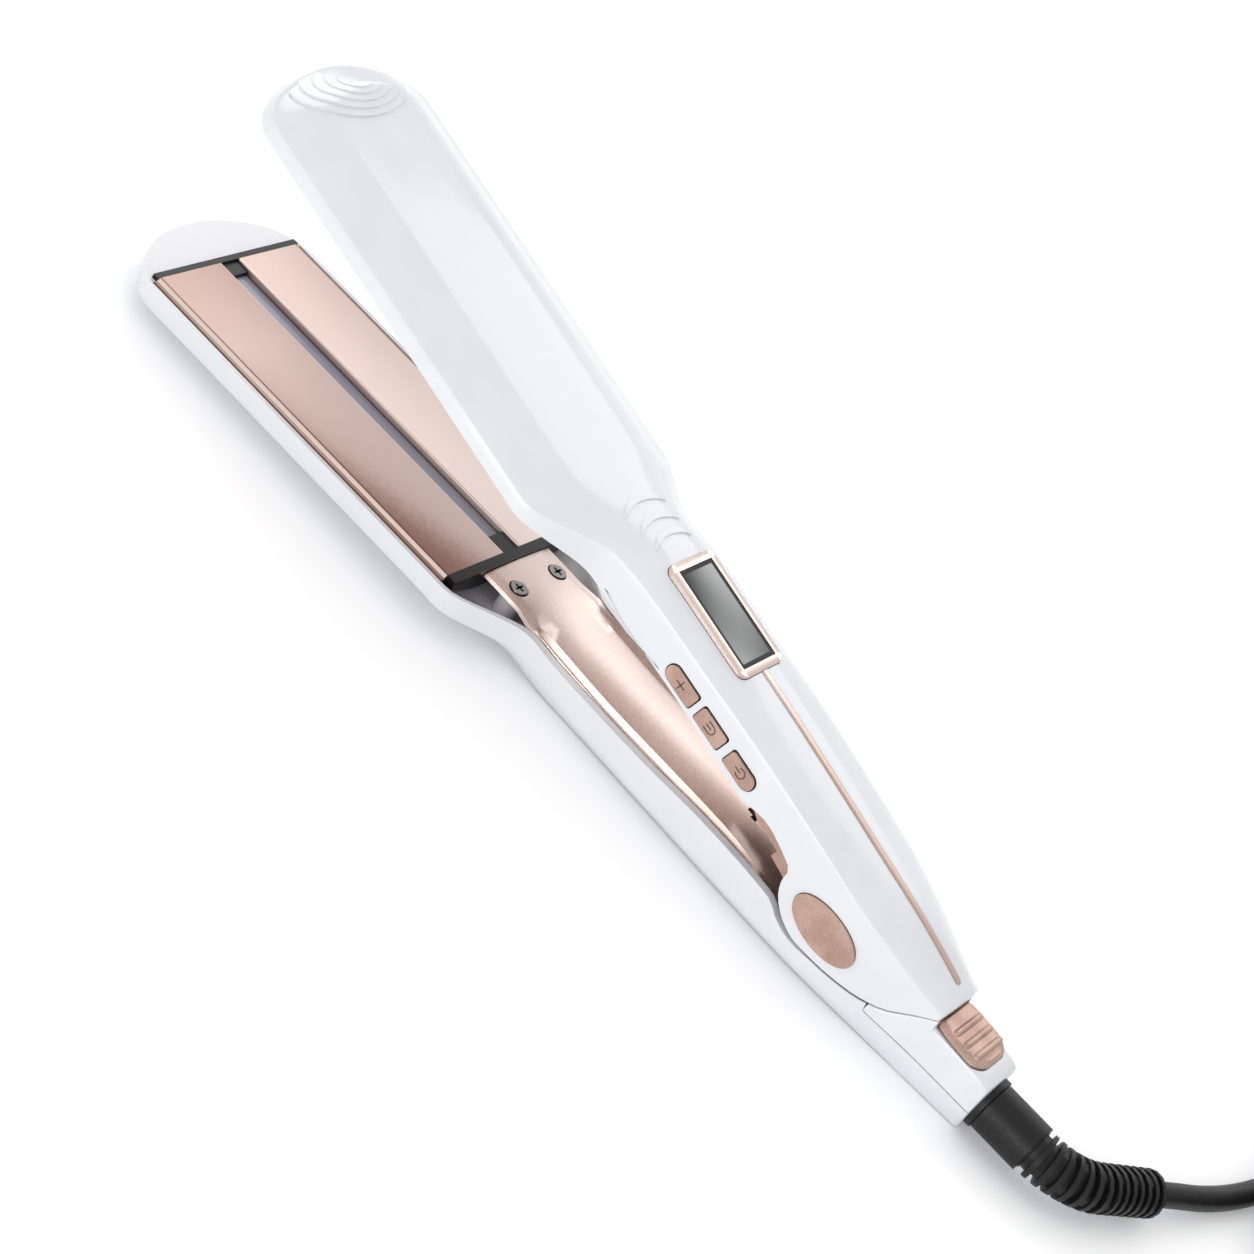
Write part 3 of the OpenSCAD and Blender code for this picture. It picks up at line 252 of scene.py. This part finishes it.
# %% [markdown]
# Colours are written as sRGB hex values, as a paint chart gives them, and one
# function turns them into the linear values that the shader wants. Numbers in
# a graph come from noise of a real size in millimetres, from sums, and from
# ramps that go from one value to another.

# %% Colours, numbers and materials
def linear(hex_colour):
    """Linear RGBA of an sRGB colour written as #rrggbb."""
    parts = [int(hex_colour[i:i + 2], 16) / 255 for i in (1, 3, 5)]
    return (*[p / 12.92 if p <= 0.04045 else ((p + 0.055) / 1.055) ** 2.4 for p in parts], 1.0)


def new_material(name, **shader):
    """A material whose Principled shader is set by socket; its base colour is the viewport's too."""
    material = bpy.data.materials.new(name)
    material.use_nodes = True
    surface = material.node_tree.nodes["Principled BSDF"]
    for key, value in shader.items():
        surface.inputs[key.replace("_", " ")].default_value = value
    material.diffuse_color = surface.inputs["Base Color"].default_value
    return material, material.node_tree, surface


def grain(tree, grain_mm, detail=2.0):
    """Noise whose features are grain_mm wide; the scene is in metres."""
    place = add_node(tree, "ShaderNodeTexCoord")
    return add_node(tree, "ShaderNodeTexNoise", Vector=place.outputs["Object"],
                    Scale=1 / (grain_mm * MM), Detail=detail, Roughness=0.55).outputs[0]


def sums(tree, operation, *values):
    """The result of a math node; each value is a number or a socket."""
    return add_node(tree, "ShaderNodeMath", {"operation": operation},
                    **{f"_{i}": value for i, value in enumerate(values)}).outputs[0]


def remap(tree, value, start, end, low=0.0, high=1.0, kind="LINEAR"):
    """Low before start, high after end."""
    return add_node(tree, "ShaderNodeMapRange", {"interpolation_type": kind}, Value=value,
                    From_Min=start, From_Max=end, To_Min=low, To_Max=high).outputs[0]


def ramp(tree, value, start, end):
    """0 before start, 1 after end and smooth between."""
    return remap(tree, value, start, end, kind="SMOOTHSTEP")


def band(tree, value, start, end, soft):
    """1 between start and end, fading over soft outside them."""
    return sums(tree, "MULTIPLY", ramp(tree, value, start - soft, start), ramp(tree, value, end + soft, end))


# %% [markdown]
# A finish is one shader whose colour, roughness and surface vary a little. Each
# helper varies one of them. Narrow seams between mouldings trap almost no
# light, so where a surface finds itself closed in within a millimetre or so its
# colour is painted darker toward a seam colour: painted shade in seams and hollows.

# %% Vary a finish
NOISE_LOW, NOISE_HIGH = 0.35, 0.65    # most noise values lie between these
SEAM_SHADE_SHUT = 0.12                      # share of open sky below which a seam is all seam colour
AO_SAMPLES = 8


def blend_colour(tree, share, below, above):
    """A colour that goes from below to above with share; each is a hex colour or a socket."""
    ends = [linear(c) if isinstance(c, str) else c for c in (below, above)]
    mix = add_node(tree, "ShaderNodeMix", {"data_type": "RGBA"}, _0=share, _6=ends[0], _7=ends[1])
    return mix.outputs[2]


def paint(tree, surface, colour):
    tree.links.new(colour, surface.inputs["Base Color"])


def vary_roughness(tree, surface, noise, low, high):
    spread = remap(tree, noise, NOISE_LOW, NOISE_HIGH, low, high)
    tree.links.new(spread, surface.inputs["Roughness"])


def bump(tree, surface, noise, height_mm):
    relief = add_node(tree, "ShaderNodeBump", Height=noise, Strength=1.0, Distance=height_mm * MM)
    tree.links.new(relief.outputs[0], surface.inputs["Normal"])


def paint_seam_shade(tree, surface, seam_shade_colour, reach_mm=1.0, open_share=0.42):
    """Painted shade: fades the base colour to the seam colour where less than open_share is open within
    reach_mm.
    """
    opened = add_node(tree, "ShaderNodeAmbientOcclusion", {"samples": AO_SAMPLES}, Distance=reach_mm * MM)
    base = surface.inputs["Base Color"]
    over = base.links[0].from_socket if base.links else tuple(base.default_value)
    paint(tree, surface, blend_colour(tree, ramp(tree, opened.outputs["AO"], SEAM_SHADE_SHUT, open_share),
                                      seam_shade_colour, over))


# %% [markdown]
# The arms are high gloss ABS, moulded in a polished tool: an IOR of 1.53, a
# roughness near 0.2 and a very shallow flow ripple some 9 mm long, which is
# what makes a reflection on real mouldings waver a little. A thin clear coat
# gives the sharper of the two reflections.

# %% White moulded ABS
white_abs, tree, surface = new_material("white_gloss_abs", Base_Color=linear("#EDEEF2"), IOR=1.53,
                                        Coat_Weight=0.35, Coat_Roughness=0.08)
flow = grain(tree, 9.0, detail=1.0)
paint(tree, surface, blend_colour(tree, flow, "#E9EAEF", "#F0F1F4"))
vary_roughness(tree, surface, flow, 0.18, 0.26)
bump(tree, surface, flow, height_mm=0.004)
# Painted shade in the seams and hollows of the white mouldings.
paint_seam_shade(tree, surface, "#3C3C40")
print("finish:", white_abs.name)

# %% [markdown]
# Patterns that belong to one place on one piece, such as a printed border, need
# the piece's own axes. This mapping puts the origin at the middle of a node,
# turns with the arm and makes one unit as long as the node's half size.

# %% Places on a piece
UPPER_TILT, LOWER_TILT = math.radians(-11.2), math.radians(2)    # how the arms lie at rest, about +Y


def own_axes(tree, node, tilt):
    """X, Y and Z sockets that run from -1 to 1 over a node's box and turn with its arm."""
    low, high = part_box(node)
    place = add_node(tree, "ShaderNodeTexCoord")
    along = add_node(tree, "ShaderNodeMapping", {"vector_type": "TEXTURE"}, Vector=place.outputs["Object"],
                     Location=(low + high) / 2, Rotation=(0, tilt, 0), Scale=(high - low) / 2)
    return add_node(tree, "ShaderNodeSeparateXYZ", Vector=along.outputs[0]).outputs


# %% [markdown]
# The plates are aluminium under a satin rose gold ceramic lacquer. Fine flakes
# in the lacquer, drawn at 0.35 mm because real ones would not show, make the
# colour shimmer, and a 1.6 mm orange peel bends what it reflects. Toward the
# hinge the colour is painted paler, a painted reflection of the bright sky. On
# the lower plate of the button side it is painted browner in soft patches toward
# the hinge and a little at its tip: painted shade, the mirror image of the upper
# arm's dark underside.

# %% Rose gold lacquer
# The brown is painted shade, the plate's mirror image of the upper arm's dark underside.
REFLECTED_SHADE = "#865649"
NEAR_FROM, NEAR_TO = -1.2, -1.0    # across, in half widths of the near plate: the gap between the plates
ABOVE_LOWER, ON_LOWER = 3.0, 2.0   # up, in its half thicknesses: the upper plates lie above
PATCH_LEAN, PATCH_WANDER = -0.75, 0.5    # how the brown slants across the plate, and how uneven its edge is
REFLECTED_SHADE_FROM, REFLECTED_SHADE_TO = -0.15, -1.15    # along, in half lengths from the plate's middle; the hinge end is -1
TIP_FROM, TIP_TO = 0.5, 1.0
SKY_REFLECTION_FROM, SKY_REFLECTION_TO = 1.2, -0.8
REFLECTED_SHADE_LEAST, REFLECTED_SHADE_MOST, TIP_SHADE_SHARE = 0.1, 0.74, 0.26    # shares of the brown
SKY_REFLECTION_FAR, SKY_REFLECTION_NEAR = 0.75, 0.3      # shares of the pale colour, beyond the gap and on this side of it
plate_coat, tree, surface = new_material("rose_gold_plate_lacquer", Base_Color=linear("#D2BBB3"),
                                         Metallic=0.7)
flakes = grain(tree, 0.35, detail=3.0)
peel = grain(tree, 1.6)
patch = grain(tree, 1.4, detail=5.0)
vary_roughness(tree, surface, flakes, 0.28, 0.4)
plate = own_axes(tree, "lower_plate_near", LOWER_TILT)
lower_near = sums(tree, "MULTIPLY", ramp(tree, plate["Y"], NEAR_FROM, NEAR_TO),
                  ramp(tree, plate["Z"], ABOVE_LOWER, ON_LOWER))
slant = sums(tree, "MULTIPLY_ADD", plate["Y"], PATCH_LEAN, plate["X"])
wander = sums(tree, "MULTIPLY_ADD", patch, PATCH_WANDER, slant)
reflected_shade = remap(tree, ramp(tree, wander, REFLECTED_SHADE_FROM, REFLECTED_SHADE_TO), 0.0, 1.0, REFLECTED_SHADE_LEAST, REFLECTED_SHADE_MOST)
tip_shade = remap(tree, plate["X"], TIP_FROM, TIP_TO, 0.0, TIP_SHADE_SHARE)
# Painted reflection: the plates are painted paler toward the hinge, more so beyond the gap.
sky_reflection = sums(tree, "MULTIPLY", ramp(tree, plate["X"], SKY_REFLECTION_FROM, SKY_REFLECTION_TO),
             remap(tree, plate["Y"], NEAR_FROM, NEAR_TO, SKY_REFLECTION_FAR, SKY_REFLECTION_NEAR))
coat = blend_colour(tree, sky_reflection, blend_colour(tree, flakes, "#C2A79E", "#D0BAB3"), "#F0E2DC")
# Painted shade: the near lower plate is painted browner toward the hinge and at its tip.
for painted_shade in (reflected_shade, tip_shade):
    coat = blend_colour(tree, sums(tree, "MULTIPLY", painted_shade, lower_near), coat, REFLECTED_SHADE)
print("finish:", plate_coat.name)

# %% [markdown]
# Bands across the plates' rounded edges are painted light and shade: the bright
# bands are painted highlights on the inner edge and on the bevel, and the dark
# lines at the bevel's crease and at the outer edge are painted shade.

# %% Painted highlights and shade on the plate edges
EDGE_HIGHLIGHTS_AND_SHADE = ((3.3, 3.6, "#F6E6DE"), (24.55, 24.8, "#7A544A"), (25.1, 25.7, "#F3DDD3"),
              (26.3, 27.0, "#6E4B42"))    # from and to, in millimetres from the iron's middle, and colour
EDGE_SOFT = 0.12 * MM
place = add_node(tree, "ShaderNodeTexCoord")
spot = add_node(tree, "ShaderNodeSeparateXYZ", Vector=place.outputs["Object"])
aside = sums(tree, "ABSOLUTE", spot.outputs["Y"])
# Bright bands are painted highlights and dark bands painted shade, laid by distance from the iron's middle.
for start, end, colour in EDGE_HIGHLIGHTS_AND_SHADE:
    coat = blend_colour(tree, band(tree, aside, start * MM, end * MM, EDGE_SOFT), coat, colour)
paint(tree, surface, coat)
bump(tree, surface, peel, height_mm=0.01)
# Painted shade on the plates' walls deep in the slot and near the frames.
paint_seam_shade(tree, surface, "#4A2E28", reach_mm=2.0, open_share=0.85)
print("bands on the plates:", len(EDGE_HIGHLIGHTS_AND_SHADE))

# %% [markdown]
# The inner liners and the bezel are moulded and metallised too, but paler and
# glossier. Toward the hinge the liners are painted browner, painted shade where
# the arms close in over them. The sand is the fine texture of the tool they
# were moulded in.

# %% Liners
HINGE_SHADE_FROM, HINGE_SHADE_TO, HINGE_SHADE_WANDER = 0.15, -0.75, 0.25    # along the liner, in half lengths from its middle
HINGE_SHADE_MOST = 0.5
liner_coat, tree, surface = new_material("rose_gold_metallised_liner", Base_Color=linear("#EDD6CE"),
                                         Metallic=0.75)
sand = grain(tree, 0.4, detail=2.0)
liner = own_axes(tree, "lower_liner", LOWER_TILT)
uneven = sums(tree, "MULTIPLY_ADD", sand, HINGE_SHADE_WANDER, liner["X"])
# Painted shade: the liner is painted browner toward the hinge.
hinge_shade = remap(tree, ramp(tree, uneven, HINGE_SHADE_FROM, HINGE_SHADE_TO), 0.0, 1.0, 0.0, HINGE_SHADE_MOST)
unshaded = blend_colour(tree, sand, "#DFCAC2", "#E8D8D1")
paint(tree, surface, blend_colour(tree, hinge_shade, unshaded, "#A07B6C"))
vary_roughness(tree, surface, sand, 0.27, 0.34)
bump(tree, surface, sand, height_mm=0.002)
# Painted shade at the liner's groove, at its edges by the shell and round the screws.
paint_seam_shade(tree, surface, "#74483D", reach_mm=1.5, open_share=0.62)
print("finish:", liner_coat.name)

# %% [markdown]
# The caps, the buttons and the lock are painted a deeper satin rose. The paint
# is speckled like fine metal flake and clouded where it was sprayed thicker.

# %% Painted trim
CLOUD_SHARE = 0.45
trim_coat, tree, surface = new_material("rose_gold_satin_paint", Base_Color=linear("#BD9C8E"), Metallic=0.65)
speck, cloud = grain(tree, 0.35, detail=3.0), grain(tree, 8.0, detail=1.0)
speckled = blend_colour(tree, ramp(tree, speck, 0.3, 0.7), "#A88678", "#CDAEA1")
clouded = blend_colour(tree, ramp(tree, cloud, NOISE_LOW, NOISE_HIGH), "#A98A7D", "#CFB0A2")
paint(tree, surface, blend_colour(tree, CLOUD_SHARE, speckled, clouded))
vary_roughness(tree, surface, speck, 0.34, 0.46)
bump(tree, surface, speck, height_mm=0.008)
# Painted shade in the gaps round the buttons, caps and lock, which draws dark outlines.
paint_seam_shade(tree, surface, "#33211D", open_share=0.75)
print("finish:", trim_coat.name)

# %% [markdown]
# The frames that hold the hot plates are glass filled PPS, a resin that stands
# the heat and comes from the tool slightly shiny. The bend protector, the cord
# and the plug are soft PVC: duller, and textured at half a millimetre. Both
# have a low specular level, because black under a white sky soon looks grey.

# %% Black mouldings
frame_resin, tree, surface = new_material("black_pps_resin", Base_Color=linear("#0D0D0F"), IOR=1.6,
                                          Specular_IOR_Level=0.3)
spark = grain(tree, 0.25, detail=3.0)
vary_roughness(tree, surface, spark, 0.3, 0.46)
bump(tree, surface, spark, height_mm=0.006)

soft_pvc, tree, surface = new_material("black_soft_pvc", Base_Color=linear("#141415"), IOR=1.53,
                                       Specular_IOR_Level=0.3)
mould = grain(tree, 0.5, detail=3.0)
paint(tree, surface, blend_colour(tree, mould, "#0E0E0F", "#1B1B1D"))
vary_roughness(tree, surface, mould, 0.36, 0.55)
bump(tree, surface, mould, height_mm=0.012)
print("finishes:", frame_resin.name, soft_pvc.name)

# %% [markdown]
# The small and inner pieces need only one colour each, and a roughness that
# varies at the size of their own grain: the infrared strip's quartz, steel,
# nickel plated screws, the display's cell, the circuit board and the ink. The
# heaters are sintered alumina, matt and finely pitted.

# %% Inner and small materials
def plain_material(name, colour, grain_mm, low, high, **shader):
    """One colour, with a roughness that varies from low to high at grain_mm."""
    material, tree, surface = new_material(name, Base_Color=linear(colour), **shader)
    vary_roughness(tree, surface, grain(tree, grain_mm), low, high)
    return material, tree, surface


quartz, _, _ = plain_material("tinted_quartz", "#9EA0B2", 2.0, 0.08, 0.18, IOR=1.46)
ceramic, tree, surface = new_material("alumina_ceramic", Base_Color=linear("#E7E4DC"), Roughness=0.6,
                                      IOR=1.76)
bump(tree, surface, grain(tree, 0.2), height_mm=0.01)
steel, _, _ = plain_material("bright_steel", "#B9BBC0", 0.4, 0.2, 0.35, Metallic=1.0)
screw_steel, tree, surface = plain_material("nickel_plated_steel", "#9A9797", 0.3, 0.18, 0.3, Metallic=1.0)
# Painted shade on the screw heads where they sit deep in their recesses.
paint_seam_shade(tree, surface, "#0E0C0C", reach_mm=1.5, open_share=0.8)
liquid_crystal, _, _ = plain_material("liquid_crystal_cell", "#39423D", 3.0, 0.25, 0.35)
board, _, _ = plain_material("green_solder_resist", "#1F5B33", 1.0, 0.3, 0.4)
ink, _, _ = plain_material("dark_brown_ink", "#5E4640", 0.2, 0.45, 0.6)
print("small finishes:", [m.name for m in (quartz, ceramic, steel, screw_steel, liquid_crystal, board, ink)])

# %% [markdown]
# The display window is smoked acrylic with a black border printed behind it.
# Over the cell behind it a soft grey that leans from one corner to the other
# is painted, a painted reflection. The border covers the outer tenth or so of
# each half size.

# %% Smoked display window
LEAN_SHIFT, LEAN_DARK, LEAN_PALE = 0.35, 1.1, -1.1    # in half sizes of the window
BORDER_LONG, BORDER_SHORT = (0.91, 0.94), (0.82, 0.88)    # where the border fades in, along and across
smoked, tree, surface = new_material("smoked_acrylic", Base_Color=linear("#2A2C2E"), Roughness=0.08, IOR=1.49,
                                     Specular_IOR_Level=0.15)
window = own_axes(tree, "display_window", UPPER_TILT)
lean = sums(tree, "MULTIPLY", sums(tree, "ADD", window["X"], LEAN_SHIFT), window["Y"])
# Painted reflection: a grey that leans across the window from dark to pale.
grey = blend_colour(tree, ramp(tree, lean, LEAN_DARK, LEAN_PALE), "#343536", "#BDBEBE")
border = sums(tree, "MAXIMUM", ramp(tree, sums(tree, "ABSOLUTE", window["X"]), *BORDER_LONG),
              ramp(tree, sums(tree, "ABSOLUTE", window["Y"]), *BORDER_SHORT))
paint(tree, surface, blend_colour(tree, border, grey, "#020203"))
print("finish:", smoked.name)

# %% [markdown]
# Every solid of the frame names the slot of its material, so a table from slot
# to finish dresses them all. The liners and the bezel share the trim's slot
# but have a finish of their own.

# %% Give every solid its finish
finish_of_slot = {
    "white_shell": white_abs, "rose_plate": plate_coat, "rose_trim": trim_coat, "black_frame": frame_resin,
    "black_rubber": soft_pvc, "infrared_glass": quartz, "ceramic": ceramic, "steel": steel,
    "dark_steel": screw_steel, "smoked_glass": smoked, "display_module": liquid_crystal, "board": board,
}
metallised = ("lower_liner", "upper_liner", "display_bezel")
for part in frame["record"]["subparts"]:
    finish = liner_coat if part["node"] in metallised else finish_of_slot[part["material_slot"]]
    for material_slot in nodes[part["node"]].material_slots:
        material_slot.material = finish
cord_curve.materials.append(soft_pvc)

# %% [markdown]
# Each button carries its sign as a thin inked line: a plus, a cup-shaped mode
# mark and a power sign. A line is a flat ribbon that stands 0.05 mm proud of
# the button's face, drawn in the face's own millimetres: the first number runs
# along the arm toward the tips and the second one up.

# %% Signs on the buttons
INK_WIDTH, INK_RISE, INK_ROOT = 0.3, 0.05, -0.1    # the ribbon's foot lies inside the button
ARC_STEPS = 18


def arc(cx, cy, r, start, end):
    """Points from angle start to end, in degrees, round a centre."""
    angles = [math.radians(start + (end - start) * i / ARC_STEPS) for i in range(ARC_STEPS + 1)]
    return [(cx + r * math.cos(a), cy + r * math.sin(a)) for a in angles]


def button_sign(name, body, strokes):
    """Inked ribbons on the flat outer face of a button; they ride with it."""
    low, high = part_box(body)
    centre = (low + high) / 2
    along = Vector((math.cos(UPPER_TILT), 0, -math.sin(UPPER_TILT)))
    upward = Vector((math.sin(UPPER_TILT), 0, math.cos(UPPER_TILT)))
    verts, faces = [], []
    for stroke in strokes:
        pts = [Vector((*p, 0)) for p in stroke]
        first = len(verts)
        for i, p in enumerate(pts):
            way = (pts[min(i + 1, len(pts) - 1)] - pts[max(i - 1, 0)]).normalized()
            side = Vector((-way.y, way.x, 0)) * INK_WIDTH / 2
            for q, rise in ((p - side, INK_ROOT), (p - side, INK_RISE),
                            (p + side, INK_RISE), (p + side, INK_ROOT)):
                spot = centre + (along * q.x + upward * q.y) * MM
                verts.append((spot.x, high.y + rise * MM, spot.z))
        last = len(verts) - 4
        for a in range(first, last, 4):
            faces += [(a + k, a + (k + 1) % 4, a + 4 + (k + 1) % 4, a + 4 + k) for k in range(4)]
        faces += [(first + 3, first + 2, first + 1, first), (last, last + 1, last + 2, last + 3)]
    mesh = bpy.data.meshes.new(name)
    mesh.from_pydata(verts, [], faces)
    mesh.materials.append(ink)
    sign = put_in_scene(name, mesh)
    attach(sign, body)


button_sign("sign_plus", "button_plus", [[(-1.4, 0), (1.4, 0)], [(0, -1.4), (0, 1.4)]])
button_sign("sign_mode", "button_mode", [[(1.4, 1.1), (-0.3, 1.1), *arc(-0.3, 0, 1.1, 90, 270), (1.4, -1.1)],
                                         [(-0.4, 0), (1.4, 0)]])
button_sign("sign_power", "button_power", [arc(-0.3, 0, 1.2, 40, 320), [(-0.2, 0), (1.6, 0)]])
print("signs on three buttons")

# %% [markdown]
# The iron lies on white paper. The paper glows a little for the camera and in
# reflections, so it reads as white. Close to the object both its glow and its
# colour are painted darker, a painted shadow.

# %% Floor
FLOOR_HALF, FLOOR_DROP = 4, 0.1 * MM    # metres; the drop keeps it clear of the rest face
# The painted shadow on the paper reaches this far from the object.
PAINTED_SHADOW_REACH = 18 * MM                 # how near the object must be to grey the paper
PAINTED_SHADOW_SHUT, PAINTED_SHADOW_OPEN = 0.35, 0.97
GLOW_NEAR, GLOW_FAR = 0.19, 0.29
floor_mesh = bpy.data.meshes.new("floor")
floor_mesh.from_pydata([(x * FLOOR_HALF, y * FLOOR_HALF, 0) for x, y in ((-1, -1), (1, -1), (1, 1), (-1, 1))],
                       [], [(0, 1, 2, 3)])
floor = put_in_scene("floor", floor_mesh)
floor.location.z = -FLOOR_DROP
floor_paper = bpy.data.materials.new("white_paper_floor")
floor_paper.use_nodes = True
tree = floor_paper.node_tree
tree.nodes.clear()
rays = add_node(tree, "ShaderNodeLightPath")
seen = sums(tree, "MAXIMUM", rays.outputs["Is Camera Ray"], rays.outputs["Is Glossy Ray"])
# Painted shadow: near the object the paper's colour and glow are darkened.
opened = add_node(tree, "ShaderNodeAmbientOcclusion", {"samples": AO_SAMPLES}, Distance=PAINTED_SHADOW_REACH)
away = remap(tree, opened.outputs["AO"], PAINTED_SHADOW_SHUT, PAINTED_SHADOW_OPEN)
diffuse = add_node(tree, "ShaderNodeBsdfDiffuse", Color=blend_colour(tree, away, "#EDEEF0", "#FCFCFD"))
glow = add_node(tree, "ShaderNodeEmission", Color=(1, 1, 1, 1),
                Strength=remap(tree, away, 0.0, 1.0, GLOW_NEAR, GLOW_FAR))
dark = add_node(tree, "ShaderNodeEmission", Strength=0.0)
chosen = add_node(tree, "ShaderNodeMixShader", _0=seen, _1=dark.outputs[0], _2=glow.outputs[0])
both = add_node(tree, "ShaderNodeAddShader", _0=diffuse.outputs[0], _1=chosen.outputs[0])
add_node(tree, "ShaderNodeOutputMaterial", Surface=both.outputs[0])
floor_mesh.materials.append(floor_paper)
print("floor at", round(floor.location.z / MM, 2), "mm")

# %% [markdown]
# The sky of the studio is white as well. The camera sees it at full strength,
# but it lights the iron more softly, and mirrors in it a little stronger, so
# that the lamps have room to model the white arms.

# %% Sky
SKY_LIGHT, SKY_MIRRORED = 0.72, 0.84
world = bpy.data.worlds.new("studio")
world.use_nodes = True
bpy.context.scene.world = world
tree = world.node_tree
tree.nodes.clear()
rays = add_node(tree, "ShaderNodeLightPath")
seen = sums(tree, "MAXIMUM", rays.outputs["Is Camera Ray"], rays.outputs["Is Transmission Ray"])
mirrored = remap(tree, rays.outputs["Is Glossy Ray"], 0.0, 1.0, SKY_LIGHT, SKY_MIRRORED)
sky = add_node(tree, "ShaderNodeBackground", Color=(1, 1, 1, 1),
               Strength=sums(tree, "MAXIMUM", mirrored, seen))
add_node(tree, "ShaderNodeOutputWorld", Surface=sky.outputs[0])
print("sky", world.name)

# %% [markdown]
# A low lamp in front makes the near walls brighter than the sloping facets
# above them, and lamps behind and beyond the tips brighten the tops, so every
# facet has its own tone. Each is a half metre square, one metre away, and so
# its shadow has no hard edge.

# %% Lamps
LAMP_SIZE = 0.5                       # metres
LAMP_AIM = Vector((0.08, 0, 0.03))    # about the middle of the iron


def soft_lamp(name, turn, climb, power):
    """A lamp of so many watts, a metre from LAMP_AIM: turn degrees from +Y towards +X, climb degrees up."""
    t, c = math.radians(turn), math.radians(climb)
    data = bpy.data.lights.new(name, "AREA")
    data.shape = "SQUARE"
    data.size = LAMP_SIZE
    data.energy = power
    lamp = put_in_scene(name, data)
    lamp.location = LAMP_AIM + Vector((math.sin(t) * math.cos(c), math.cos(t) * math.cos(c), math.sin(c)))
    lamp.rotation_euler = (LAMP_AIM - lamp.location).to_track_quat("-Z", "Y").to_euler()


soft_lamp("front_low", 0, 12, 2.8)
soft_lamp("back_low", 180, 15, 0.25)
soft_lamp("back_high", 180, 40, 1.15)
soft_lamp("tip_side", 130, 30, 1.25)

# %% [markdown]
# Last, the scene is brought up to date.

# %% Bring the scene up to date
bpy.context.view_layer.update()
